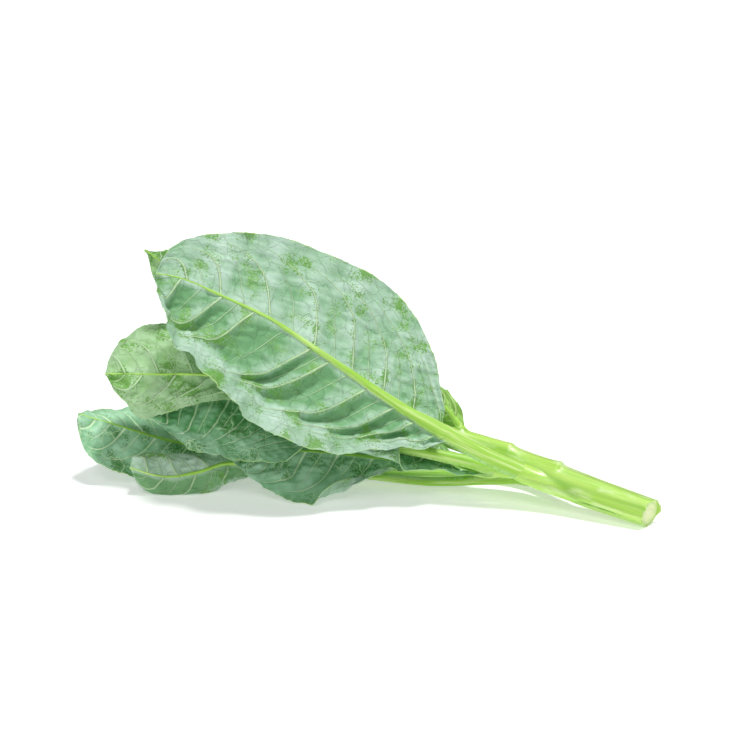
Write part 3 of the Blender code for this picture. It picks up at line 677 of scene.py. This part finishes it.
def skin_measures(leaf, seed, from_foot, distance, half, out_share, count, per_mm, opened, rib_share,
                  raised_by):
    """What the material reads at each point: where it is, how near a vein, its wax and painted shade."""
    shape = distance.shape
    share_along = np.clip(from_foot / from_foot.max(), 0.0, 1.0)
    to_margin = np.clip(1 - out_share, 0.0, 1.0)
    ribbed = leaf["outside"] == "leaf_underside"
    vein_half = VEIN_HALF[ribbed] * to_margin**0.7
    vein_half = vein_half * (1 - smooth_step((out_share - 0.7) / 0.25)) + 0.02
    small_half = SMALL_VEIN_HALF[ribbed] * (1 - smooth_step((out_share - 0.25) / 0.5)) + 0.01
    rolled = leaf["crease"][1][0] != 0
    near_margin = smooth_step(1.2 - (half - np.abs(distance)) / 16) * smooth_step(share_along * 5)
    from_vein = np.abs(count - np.round(count)) / per_mm
    worn = leaf["worn"] + 0.08 * near_margin * rolled * (distance > 0) + 0.04 * smooth_step(out_share)
    inner = 1 - smooth_step((out_share - 0.6) / 0.3)
    worn += WORN_ON_VEINS * ribbed * np.exp(-((from_vein / 1.6) ** 2)) * inner
    # Painted shade: hollows and a side in shade get more thin-wax green, and a negative side number paints
    # light
    hollow = raised_by if ribbed else -raised_by
    thin_side = np.where(distance < 0, *leaf["thin"])
    thin_side *= smooth_step(np.abs(distance) / 6) * (1 - smooth_step((out_share - 0.52) / 0.2))
    thinner = 0.12 * np.clip(hollow, -1.5, 1.5) + thin_side + leaf["worn"]
    return {
        "leaf_place": np.stack((from_foot, distance, np.full(shape, 31.0 * seed)), axis=-1),
        "leaf_wear_and_shade": np.stack((worn, thinner, np.full(shape, leaf["lush"])), axis=-1),
        "leaf_veins": np.stack((count, 1 / (per_mm * vein_half), 1 / (per_mm * small_half)), axis=-1),
        "leaf_blade": np.stack((np.where(opened > 0.2, half - np.abs(distance), 9.0), rib_share, opened),
                               axis=-1),
    }


print("each point of a leaf carries 12 numbers")

# %% [markdown]
# ## All rows together
#
# Now the rows are set side by side along the spine. The rows of the blade lie closer near its ends,
# where its outline turns fastest. Last, the relief is added, and whatever would sink into the table is
# lifted to it with a soft bend, as a limp leaf does when it is laid down.

# %% A leaf's middle surface
def leaf_surface(leaf, seed):
    """A leaf's middle surface as a grid of points, half thicknesses, and the measures for its skin."""
    petiole_rows, blade_rows, columns = leaf["grid"]
    knots = chord_knots(leaf["spine"])
    foot = knots[leaf["foot"]]
    blade_length = knots[-1] - foot
    even = np.linspace(0.0, 1.0, blade_rows)
    along_blade = foot + blade_length * (0.55 * even + 0.45 * (1 - np.cos(math.pi * even)) / 2)
    at = np.concatenate((np.linspace(0.0, foot, petiole_rows, endpoint=False), along_blade))
    places, along, up = frames_along(leaf["spine"], at)
    roll = np.radians(hermite(knots, leaf["roll"], at))
    face = np.cos(roll) * up + np.sin(roll) * np.cross(along, up)
    side_axis = np.cross(along, face)
    share = np.clip((at - foot) / blade_length, 0.0, 1.0)
    from_blade = at - foot
    fade = smooth_step(share * 10) * smooth_step((1 - share) * 12)
    radius, half_widths = row_sizes(leaf, seed, at, foot, share, from_blade, fade)
    v = np.linspace(-1.0, 1.0, columns + 1)
    shape = (len(at), len(v))
    grid = np.zeros((*shape, 3))
    above, below, distance, half, opened = (np.zeros(shape) for _ in range(5))
    for i in range(len(at)):
        for sign, side in ((-1, 0), (1, 1)):
            chosen = v <= 0 if sign < 0 else v > 0
            reach = np.abs(v[chosen])
            width = max(half_widths[i, side], radius[i])
            out, sideways, rise, opening = row_section(
                leaf, seed, side, reach, width, radius[i], share[i], from_blade[i], fade[i]
            )
            grid[i, chosen] = places[i] + sign * sideways[:, None] * side_axis[i] + rise[:, None] * face[i]
            bulge = np.sqrt(np.clip(1 - (out / radius[i]) ** 2, 0.0, 1.0)) * radius[i]
            above[i, chosen] = bulge * (PETIOLE_TOP + (RIB_TOP - PETIOLE_TOP) * opening)
            below[i, chosen] = bulge * (PETIOLE_UNDER + (RIB_UNDER - PETIOLE_UNDER) * opening)
            distance[i, chosen] = sign * out
            half[i, chosen] = width
            opened[i, chosen] = opening

    from_foot = np.broadcast_to((at - foot)[:, None], shape)
    out_share = np.abs(distance) / half
    skin = THICKNESS + (MARGIN_THICKNESS - THICKNESS) * out_share**3 * opened
    above += skin / 2
    below += skin / 2
    rib_share = np.abs(distance) / radius[:, None]
    count, per_mm = vein_numbers(leaf, seed, grid, v, from_foot, out_share, half, blade_length)
    raised_by = relief(leaf, seed, v, from_foot, distance, out_share, count, per_mm, opened, rib_share)
    grid += sheet_normals(grid) * raised_by[..., None]
    grid[..., 2] = rest_on_table(grid[..., 2], above, below)
    measures = skin_measures(leaf, seed, from_foot, distance, half, out_share, count, per_mm, opened,
                             rib_share, raised_by)
    return grid, above, below, measures


surface_test = leaf_surface(LEAVES["leaf_young"] | {"grid": (3, 9, 8)}, 0)[0]
print("a coarse young leaf is", np.round(np.ptp(surface_test.reshape(-1, 3), axis=0), 1), "mm")

# %% [markdown]
# ## From a surface to a closed sheet
#
# A real blade has two skins with flesh between them, so the mesh has two as well: the middle surface is
# offset both ways along its normals, and the two grids are joined by a narrow band round the margin.
# The upper side and the underside get their own materials, which is why a leaf that rolls over shows
# its other colour. The measures are stored on the points, where the materials read them.

# %% A closed sheet with its two skins
def filled_mesh(name, points, faces, materials, face_materials, measures):
    """An object from points in millimetres, with its faces turned out and its measures stored."""
    mesh = bpy.data.meshes.new(name)
    placed = (points + PLACE) * MM
    first, second, third = (placed[faces[:, k]] for k in (0, 1, 2))
    last = placed[faces[:, 3]]
    volume = np.sum(first * np.cross(second, third)) + np.sum(first * np.cross(third, last))
    if volume < 0:
        faces = faces[:, ::-1]
    mesh.from_pydata(placed.tolist(), [], faces.tolist())
    for material in materials:
        mesh.materials.append(material)
    mesh.polygons.foreach_set("material_index", face_materials.astype(np.int32))
    for label, values in measures.items():
        mesh.attributes.new(label, "FLOAT_VECTOR", "POINT").data.foreach_set("vector", values.ravel())
    mesh.shade_smooth()
    mesh.set_sharp_from_angle(angle=math.radians(55))
    obj = bpy.data.objects.new(name, mesh)
    bpy.context.scene.collection.objects.link(obj)
    return obj


def leaf_piece(name, leaf, seed):
    grid, above, below, measures = leaf_surface(leaf, seed)
    normals = sheet_normals(grid)
    rows, columns = grid.shape[:2]
    points = np.concatenate(((grid + normals * above[..., None]).reshape(-1, 3),
                             (grid - normals * below[..., None]).reshape(-1, 3)))
    under = rows * columns
    index = np.arange(under).reshape(rows, columns)
    a, b, c, d = index[:-1, :-1], index[:-1, 1:], index[1:, 1:], index[1:, :-1]
    top_faces = np.stack((a, b, c, d), axis=-1).reshape(-1, 4)
    low_faces = np.stack((a, d, c, b), axis=-1).reshape(-1, 4) + under
    rim = np.concatenate((index[0], index[1:, -1], index[-1, -2::-1], index[-2:0:-1, 0]))
    after = np.roll(rim, -1)
    band = np.stack((rim, rim + under, after + under, after), axis=-1)
    faces = np.concatenate((top_faces, low_faces, band))
    kinds = np.concatenate((np.zeros(len(top_faces)), np.ones(len(low_faces) + len(band))))
    both = {label: np.concatenate([values.reshape(-1, 3)] * 2) for label, values in measures.items()}
    skins = (YOUNG, YOUNG) if leaf["outside"] == "young_leaf" else (UPPER, UNDERSIDE)
    piece = filled_mesh(name, points, faces, skins, kinds, both)
    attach(piece, "root")
    return piece


print("each leaf is one closed sheet,", THICKNESS, "mm thick and", MARGIN_THICKNESS, "mm at its margin")

# %% The eight large leaves
for number, (name, leaf) in enumerate(LEAVES.items()):
    piece = leaf_piece(name + "_fine", leaf, 100 * number)
    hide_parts(name)
    print(name, "has", len(piece.data.polygons), "faces")

# %% [markdown]
# ## The heart
#
# At the tip of the stem the youngest leaves stand folded round a cluster of green flower buds. It is
# mostly hidden, so it is made with the same tools at a smaller size: three small leaves, and buds that
# are spheres drawn out to a point, with four shallow grooves where the sepals meet.

# %% Small leaves round the tip
HEART_LEAVES = (
    {
        "spine": ((-10, 25.6, 43), (-18, 28.5, 49), (-27, 31, 60), (-38, 32, 74)),
        "roll": (95, 95, 100, 105), "foot": 1, "petiole": (2.2, 1.9), "rib": (1.5, 0.5),
        "widths": ((0, 0.2, 0.5, 0.8, 1), (2.5, 7, 9, 6, 1), (2.5, 5, 6, 4, 1)),
    },
    {
        "spine": ((-10, 25.6, 43), (-21, 30, 46), (-34, 34, 49), (-48, 35, 56)),
        "roll": (20, 25, 30, 30), "foot": 1, "petiole": (2.2, 1.8), "rib": (1.4, 0.5),
        "widths": ((0, 0.2, 0.5, 0.8, 1), (2.5, 5, 6, 5, 1), (2.5, 6, 8, 5, 1)),
    },
    {
        "spine": ((-10, 25.6, 43), (-16, 26.5, 50), (-18, 26, 60), (-25, 27, 72)),
        "roll": (70, 75, 80, 80), "foot": 1, "petiole": (2.0, 1.7), "rib": (1.3, 0.5),
        "widths": ((0, 0.2, 0.5, 0.8, 1), (2.5, 5, 7, 5, 1), (2.5, 5, 7, 5, 1)),
    },
)
HEART_SHARED = PLAIN_LEAF | {
    "fold": (12, 12), "bend": (20, 20), "curl": (10, 10),
    "wave": (0.6, 0.6), "waves": (2.0, 0.4),
    "veins": 6.0, "pucker": (0.5, 0.5), "grid": (6, 50, 44),
    "outside": "young_leaf",
}
for number, leaf in enumerate(HEART_LEAVES):
    piece = leaf_piece(f"heart_leaf_{number}", leaf | HEART_SHARED, 900 + 20 * number)
    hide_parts("heart")
print(len(HEART_LEAVES), "heart leaves")

# %% Flower buds
BUDS = (
    (-15.5, 28.5, 47.5), (-17.5, 30.5, 50.0), (-15.0, 29.0, 51.0), (-20.0, 27.5, 51.5),
    (-17.5, 28.5, 53.5),
)
BUD_RADIUS = 2.3
BUD_RINGS = 20
BUD_SIDES = 28


def bud_points(centre):
    """A pointed bud with four shallow grooves, as rings of points from its foot to its tip."""
    height = np.linspace(-1.0, 1.0, BUD_RINGS)[:, None] * 0.999
    angle = np.linspace(0.0, 2 * math.pi, BUD_SIDES, endpoint=False)[None, :]
    width = np.sqrt(1 - height**2) * (1 - 0.18 * height)
    groove = 1 - 0.07 * np.abs(np.cos(2 * angle)) ** 8 * smooth_step((height + 1) / 1.2)
    reach = BUD_RADIUS * width * groove
    lifted = np.broadcast_to(height * BUD_RADIUS * 1.25, reach.shape)
    return np.stack((reach * np.cos(angle), reach * np.sin(angle), lifted), axis=-1) + np.array(centre)


points, faces, places = [], [], []
ring = np.arange(BUD_SIDES)
for number, centre in enumerate(BUDS):
    start = number * BUD_RINGS * BUD_SIDES
    points.append(bud_points(centre).reshape(-1, 3))
    for row in range(BUD_RINGS - 1):
        low = start + row * BUD_SIDES
        beside = np.roll(ring, -1)
        faces.append(low + np.stack((ring, beside, beside + BUD_SIDES, ring + BUD_SIDES), axis=1))
points = np.concatenate(points)
faces = np.concatenate(faces)
flat = np.zeros_like(points)
buds = filled_mesh("flower_buds", points, faces, (YOUNG,), np.zeros(len(faces)),
                   {"leaf_place": points.copy(), "leaf_veins": flat + (0.5, 99.0, 99.0),
                    "leaf_blade": flat + (9.0, 9.0, 1.0), "leaf_wear_and_shade": flat.copy()})
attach(buds, "root")
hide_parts("heart")
print(len(BUDS), "buds with", len(faces), "faces")

# %% [markdown]
# ## Stem skin and pith
#
# The stem has a tough green skin with a thin coat of wax, smooth enough to give long soft highlights.
# Fibres under the skin show as fine streaks along it. Where it was cut, the pith is nearly white and
# wet, with a ring of green threads just inside the skin.
#
# The skin's base is a Principled shader at a roughness of 0.3, or 0.45 where wax lies in pale
# blotches, with a thin coat for its shine. Its pattern is noise stretched along the stem: 38 mm long
# and 2 mm wide, like the fibres. Grooves, and the seams where a stalk leaves the stem, get a darker
# green as painted shade, the shadow that falls in them. The pith's rings are drawn from the distance
# to the middle of the stem.

# %% Waxy stem skin and moist pith
FIBRE_MM = (38.0, 2.0)
BAND_MM = (70.0, 5.0)
WAX_BLOTCH_MM = (24.0, 9.0)


def stem_skin():
    material, tree, shader = new_material("waxy_stem_skin")
    place = node(tree, "Attribute", attribute_name="stem_place").outputs["Vector"]
    round_it = node(tree, "Attribute", attribute_name="stem_round").outputs["Vector"]
    parts = node(tree, "SeparateXYZ", {"Vector": round_it}).outputs
    noises = []
    for (length, width), detail in ((FIBRE_MM, 4.0), (BAND_MM, 2.0), (WAX_BLOTCH_MM, 5.0)):
        stretched = node(tree, "VectorMath", {0: place, 1: (1 / length, 1 / width, 0.0)},
                         operation="MULTIPLY")
        noises.append(node(tree, "TexNoise", {"Vector": stretched, "Scale": 1.0, "Detail": detail}))
    fibre, band, wax = noises
    dark = node(tree, "MapRange", {"Value": fibre, "From Min": 0.48, "From Max": 0.3, "To Max": 0.4})
    light = node(tree, "MapRange", {"Value": fibre, "From Min": 0.54, "From Max": 0.72, "To Max": 0.45})
    # Painted shade: grooves and the seams where stalks join the stem are darker green
    groove = node(tree, "MapRange",
                  {"Value": parts["X"], "From Min": 0.0, "From Max": -0.8, "To Max": 0.85})
    groove = node(tree, "Math", {0: parts["Z"], 1: 0.5, 2: groove},
                  operation="MULTIPLY_ADD", use_clamp=True)
    wax = node(tree, "MapRange", {"Value": wax, "From Min": 0.5, "From Max": 0.66, "To Max": 0.65},
               interpolation_type="SMOOTHSTEP")
    colour = linear("#93D136")
    for share, tint in ((band, "#DAF886"), (dark, "#7FC236"), (light, "#DDF5A4"), (groove, "#66A62D"),
                        (wax, "#E0F6B6")):
        colour = node(tree, "Mix", {"Factor": share, "A": colour, "B": linear(tint)}, data_type="RGBA")
    speck = node(tree, "TexNoise", {"Vector": place, "Scale": 1 / 0.6, "Detail": 2.0})
    height = node(tree, "Math", {0: speck, 1: 0.03}, operation="MULTIPLY")
    height = node(tree, "Math", {0: fibre, 1: 0.3, 2: height}, operation="MULTIPLY_ADD")
    bump = node(tree, "Bump", {"Height": height, "Distance": 0.001})
    gloss = node(tree, "MapRange", {"Value": wax, "To Min": 0.3, "To Max": 0.45})
    fill(tree, shader, {
        "Base Color": colour, "Normal": bump, "Roughness": gloss, "IOR": 1.45,
        "Coat Weight": 0.25, "Coat Roughness": 0.3,
        "Subsurface Weight": 0.25, "Subsurface Radius": (0.7, 1.0, 0.3), "Subsurface Scale": 0.002,
    })
    return material


def pith():
    material, tree, shader = new_material("moist_stem_pith")
    place = node(tree, "Attribute", attribute_name="stem_place").outputs["Vector"]
    round_it = node(tree, "Attribute", attribute_name="stem_round").outputs["Vector"]
    parts = node(tree, "SeparateXYZ", {"Vector": round_it}).outputs
    cells = node(tree, "TexVoronoi", {"Vector": place, "Scale": 1 / 0.9})
    from_middle = node(tree, "Math", {0: cells, 1: 0.06, 2: parts["Y"]}, operation="MULTIPLY_ADD")
    rings = node(tree, "ValToRGB", {"Fac": from_middle})
    stops = ((0.0, "#F3FCC9"), (0.62, "#ECFBBB"), (0.76, "#D6F0A0"), (0.84, "#E6F6B8"), (0.93, "#C2E680"),
             (1.0, "#A2D656"))
    for at, colour in stops[1:-1]:
        rings.color_ramp.elements.new(at)
    for element, (at, colour) in zip(rings.color_ramp.elements, stops):
        element.position = at
        element.color = linear(colour)
    bump = node(tree, "Bump", {"Height": cells, "Distance": 0.0002})
    fill(tree, shader, {
        "Base Color": rings, "Normal": bump, "Roughness": 0.36, "IOR": 1.4,
        "Subsurface Weight": 0.35, "Subsurface Radius": (1.0, 1.0, 0.6), "Subsurface Scale": 0.003,
    })
    return material


STEM_SKIN = stem_skin()
PITH = pith()
print("made", STEM_SKIN.name, "and", PITH.name)

# %% [markdown]
# ## The stem
#
# The leaf stalks don't stick out of the stem like pegs. Each runs down into it and spreads, with a
# groove on either side, so that stem and stalks look poured together. A Boolean union would leave a
# hard seam there. Instead, each point of the stem is pushed out along its own ray until it leaves a
# soft union of the stem and the stalks: a formula that blends two distances where they are close.
# Each stalk's share of that union shrinks once it has left the stem, and ends inside the leaf's own
# stalk, where it isn't seen.

# %% The stem's own shape
STEM_PATH = (
    (148.4, -44.0, 7.9), (122.0, -29.5, 12.3), (100.0, -16.5, 17.2), (73.0, 0.0, 23.2),
    (50.0, 10.5, 28.8), (14.0, 20.0, 36.5), (-12.0, 26.0, 43.5),
)
STEM_RADII = (7.8, 8.5, 8.3, 7.3, 6.2, 5.0, 3.4)
STEM_STATIONS = 250
STEM_SIDES = 112
STEM_RIDGES = 5
STEM_RIDGE_HEIGHT = 0.035
FINE_RIDGES = 17
CUT_SLANT = 0.22

# Where a leaf was trimmed off the stem: distance from the cut, angle round it, height, length
SCARS = ((56.0, 95.0, 2.4, 9.0), (87.0, 95.0, 2.2, 22.0))
SCAR_WIDTH = 34.0

# Grooves between old leaf bases: angle round the stem, depth, width in degrees, and the stretch along it
GROOVES = ((-26.0, 1.2, 6.0, 6.0, 78.0), (62.0, 0.5, 8.0, 10.0, 70.0))


def turn_from(degrees, direction):
    """The turn from a direction round the stem, between -180 and 180 degrees."""
    return (degrees - direction + 180) % 360 - 180


def stem_reach(at, radii, angle):
    """The stem's own radius at each station and angle, with its ridges, scars and grooves."""
    ridges = 1 + STEM_RIDGE_HEIGHT * np.cos(STEM_RIDGES * angle + 0.6)
    reach = radii[:, None] * ridges[None, :]
    reach = reach + 0.04 * np.cos(FINE_RIDGES * angle + 1.0)[None, :]
    degrees = np.degrees(angle)
    for distance, direction, height, length in SCARS:
        beyond = (at - distance) / length
        ramp = np.where(beyond > 0, np.exp(-beyond * 1.1), np.exp(beyond * 7))
        spread = np.exp(-(turn_from(degrees, direction) / SCAR_WIDTH) ** 2)
        reach = reach + height * ramp[:, None] * spread[None, :]
    for direction, depth, width, start, end in GROOVES:
        spread = np.exp(-(turn_from(degrees, direction) / width) ** 2)
        stretch = smooth_step((at - start) / 20) * (1 - smooth_step((at - end) / 20))
        reach = reach - depth * stretch[:, None] * spread[None, :]
    return reach + 0.12 * rolling(77, at[:, None], degrees[None, :] / 6, 9.0, 40.0)


stem_at = np.linspace(0.0, chord_knots(STEM_PATH)[-1], STEM_STATIONS)
stem_places, stem_along, stem_up = frames_along(STEM_PATH, stem_at)
stem_radii = hermite(chord_knots(STEM_PATH), STEM_RADII, stem_at)[:, 0]
stem_left = np.cross(stem_up, stem_along)
print("the stem is", round(stem_at[-1]), "mm long and", round(2 * stem_radii.max(), 1), "mm thick")

# %% Stalks that grow out of it
SLEEVE = 0.3
SINK = 1.5
FILLET = 0.9
STALK_REACH = 75.0
NEARBY = 14.0


def stalk_balls(leaf):
    """Centres and radii of balls along a stalk, which shrink once it has left the stem."""
    knots = chord_knots(leaf["spine"])
    foot = knots[leaf["foot"]]
    at = np.linspace(0.0, min(foot, STALK_REACH), 60)
    centres = hermite(knots, leaf["spine"], at)
    radii = np.interp(at, (0.0, foot), leaf["petiole"])
    apart = np.linalg.norm(centres[:, None] - stem_places[None], axis=-1)
    nearest = apart.argmin(axis=1)
    clear = (apart.min(axis=1) - stem_radii[nearest]) / radii
    return centres, radii + SLEEVE - SINK * smooth_step((clear - 0.35) / 0.8)


balls = [stalk_balls(leaf) for leaf in LEAVES.values()]
centres = np.concatenate([ball[0] for ball in balls])
sizes = np.concatenate([ball[1] for ball in balls])
angle = np.linspace(0.0, 2 * math.pi, STEM_SIDES, endpoint=False)
own_reach = stem_reach(stem_at, stem_radii, angle)
directions = (np.cos(angle)[None, :, None] * stem_left[:, None]
              + np.sin(angle)[None, :, None] * stem_up[:, None])
reach = own_reach.copy()
seam = np.zeros_like(reach)
for i in range(STEM_STATIONS):
    ahead = np.abs((centres - stem_places[i]) @ stem_along[i]) < NEARBY
    if not ahead.any():
        continue
    steps = np.linspace(0.5, 2.6, 90) * stem_radii[i]
    points = stem_places[i] + directions[i][:, None] * steps[None, :, None]
    to_balls = np.linalg.norm(points[:, :, None] - centres[ahead], axis=-1) - sizes[ahead]
    to_stem = steps[None, :] - own_reach[i][:, None]
    joined = -FILLET * np.logaddexp(-to_stem / FILLET, -to_balls.min(axis=-1) / FILLET)
    outside = joined > 0
    first = np.maximum(outside.argmax(axis=1), 1)
    rows = np.arange(STEM_SIDES)
    before, after = joined[rows, first - 1], joined[rows, first]
    part = np.clip(before / (before - after), 0.0, 1.0)
    reach[i] = steps[first - 1] + (steps[first] - steps[first - 1]) * part
    # How close each point is to where a stalk meets the stem, for the painted shade in the seam
    apart = (reach[i] - own_reach[i]) - to_balls.min(axis=-1)[rows, first]
    seam[i] = np.exp(-((apart / 0.9) ** 2))
print("the stalks widen the stem by up to", round(float((reach - own_reach).max()), 1), "mm")

# %% [markdown]
# ## The cut end
#
# The knife went through at a slant and tore the skin a little, so the rim of the cut stands up in
# small ragged flaps, mostly on top, and the wet pith sags slightly inside it. The rings of points go
# on past the last ring of skin: up over the ragged rim, down inside it, and across to the middle.

# %% Rings, rim and pith
RAGGED = 1.7
CUT_SAG = 0.5
FACE_EDGE = 0.93
USUAL_RADIUS = 8.0
FLAPS = ((178.0, 2.2, 34.0), (118.0, 1.2, 14.0), (84.0, 1.6, 12.0), (300.0, 0.9, 16.0))
FACE_RINGS = 26
TIP_RINGS = 6

rings = stem_places[:, None] + reach[..., None] * directions
slant = CUT_SLANT * (rings[0] - stem_places[0]) @ stem_left[0]
near_cut = np.exp(-stem_at / 1.6)[:, None]
rings += (near_cut * slant[None, :])[..., None] * stem_along[0]
degrees = np.degrees(angle)
on_top = np.exp(-(turn_from(degrees, 75) / 55.0) ** 2)
torn = np.clip(rolling(31, degrees / 360 * 49, 0.0, 1.6, 7.0), 0.0, None)
lip = RAGGED * (0.2 + on_top) * torn
for direction, height, width in FLAPS:
    lip += height * np.clip(1 - np.abs(turn_from(degrees, direction)) / width, 0.0, 1.0)
rings[0] -= lip[:, None] * stem_along[0]

cut_share = np.linspace(FACE_EDGE, 0.0, FACE_RINGS)
flat = own_reach[0][None, :] * cut_share[:, None]
sag = CUT_SAG * (1 - cut_share[:, None] ** 2)
sag = sag + 0.12 * rolling(41, flat * np.cos(angle), flat * np.sin(angle), 2.0, 7.0)
cut_face = (stem_places[0] + flat[..., None] * directions[0]
            + (CUT_SLANT * flat * np.cos(angle) + sag + 0.1)[..., None] * stem_along[0])

tip_share = np.cos(np.linspace(0, math.pi / 2, TIP_RINGS + 1))[1:, None]
tip_rise = np.sin(np.linspace(0, math.pi / 2, TIP_RINGS + 1))[1:, None]
tip_face = (stem_places[-1] + (reach[-1] * tip_share)[..., None] * directions[-1]
            + (tip_rise * 1.5 * np.ones(STEM_SIDES))[..., None] * stem_along[-1])

every_ring = np.concatenate((cut_face[::-1], rings, tip_face))
every_ring[..., 2] = np.maximum(every_ring[..., 2], 0.03)
ring_count = len(every_ring)
index = np.arange(ring_count * STEM_SIDES).reshape(ring_count, STEM_SIDES)
beside = np.roll(index, -1, axis=1)
faces = np.stack((index[:-1], beside[:-1], beside[1:], index[1:]), axis=-1).reshape(-1, 4)
kinds = np.repeat(np.arange(ring_count - 1) < FACE_RINGS - 1, STEM_SIDES)

station = np.concatenate((np.zeros(FACE_RINGS), stem_at, np.full(TIP_RINGS, stem_at[-1])))
from_middle = np.concatenate((flat[::-1], reach, reach[-1] * tip_share))
arc = angle[None, :] * USUAL_RADIUS
on_face = (np.arange(ring_count) < FACE_RINGS)[:, None]
swell = np.concatenate((np.zeros((FACE_RINGS, STEM_SIDES)), reach - stem_radii[:, None],
                        np.zeros((TIP_RINGS, STEM_SIDES))))
stem_place = np.stack((np.where(on_face, from_middle * np.cos(angle), station[:, None]),
                       np.where(on_face, from_middle * np.sin(angle), arc),
                       np.zeros((ring_count, STEM_SIDES))), axis=-1)
share_out = np.concatenate((np.repeat(cut_share[::-1], STEM_SIDES),
                            np.ones((ring_count - FACE_RINGS) * STEM_SIDES)))
seams = np.concatenate((np.zeros((FACE_RINGS, STEM_SIDES)), seam, np.zeros((TIP_RINGS, STEM_SIDES))))
stem_round = np.stack((swell.ravel(), share_out, seams.ravel()), axis=-1)
stem = filled_mesh("stem_fine", every_ring.reshape(-1, 3), faces, (STEM_SKIN, PITH), kinds,
                   {"stem_place": stem_place.reshape(-1, 3), "stem_round": stem_round})
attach(stem, "root")
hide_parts("stem")
print("the stem has", len(faces), "faces")

# %% [markdown]
# ## A table and soft light
#
# The shoot lies on a white, faintly glossy table, in the light of a studio with white walls. A softbox
# overhead gives most of the light, a window adds some from the front left, and a card in front fills
# the shade. They are far away and look broad, so shadows have soft edges. The white board glows
# faintly, as a lit one does in a studio, so that only the places under the leaves are grey.
#
# The camera is a metre away and looks down at 18 degrees. A long lens keeps the perspective mild.

# %% Table, light and camera
CAMERA_DISTANCE = 1.0
CAMERA_TILT = math.radians(18)
CAMERA_AIM = Vector((8.8, -17.7, 71.8)) * MM
LENS = 1812 / 750 * 36

table_mesh = bpy.data.meshes.new("table_top")
table_mesh.from_pydata([(-6, -6, 0), (6, -6, 0), (6, 6, 0), (-6, 6, 0)], [], [(0, 1, 2, 3)])
table = bpy.data.objects.new("table_top", table_mesh)
bpy.context.scene.collection.objects.link(table)
white, tree, paint = new_material("white_lacquered_board")
fill(tree, paint, {"Base Color": linear("#F7F8F8"), "Roughness": 0.35,
                   "Emission Color": linear("#FFFFFF"), "Emission Strength": 0.32})
table_mesh.materials.append(white)

world = bpy.data.worlds.new("white_studio")
world.use_nodes = True
fill(world.node_tree, world.node_tree.nodes["Background"], {"Color": linear("#FFFFFF"), "Strength": 0.2})
bpy.context.scene.world = world
bpy.context.scene.view_settings.view_transform = "Standard"


def softbox(name, strength, spread, towards):
    """A distant light, as wide as it looks from the shoot, in the direction given."""
    data = bpy.data.lights.new(name, "SUN")
    data.energy = strength
    data.angle = math.radians(spread)
    light = bpy.data.objects.new(name, data)
    light.rotation_euler = Vector(towards).to_track_quat("Z", "Y").to_euler()
    bpy.context.scene.collection.objects.link(light)


softbox("overhead_softbox", 2.35, 10, (0.16, 0.0, 1.0))
softbox("window_light", 0.6, 20, (-0.2, -0.55, 0.8))
softbox("fill_card", 0.3, 60, (-0.1, -0.9, 0.2))

camera_data = bpy.data.cameras.new("camera")
camera_data.sensor_width = 36
camera_data.lens = LENS
camera = bpy.data.objects.new("camera", camera_data)
backwards = Vector((0.0, -math.cos(CAMERA_TILT), math.sin(CAMERA_TILT)))
camera.location = CAMERA_AIM + backwards * CAMERA_DISTANCE
camera.rotation_euler = (-backwards).to_track_quat("-Z", "Y").to_euler()
bpy.context.scene.collection.objects.link(camera)
bpy.context.scene.camera = camera
print("the camera is at", [round(c, 3) for c in camera.location])
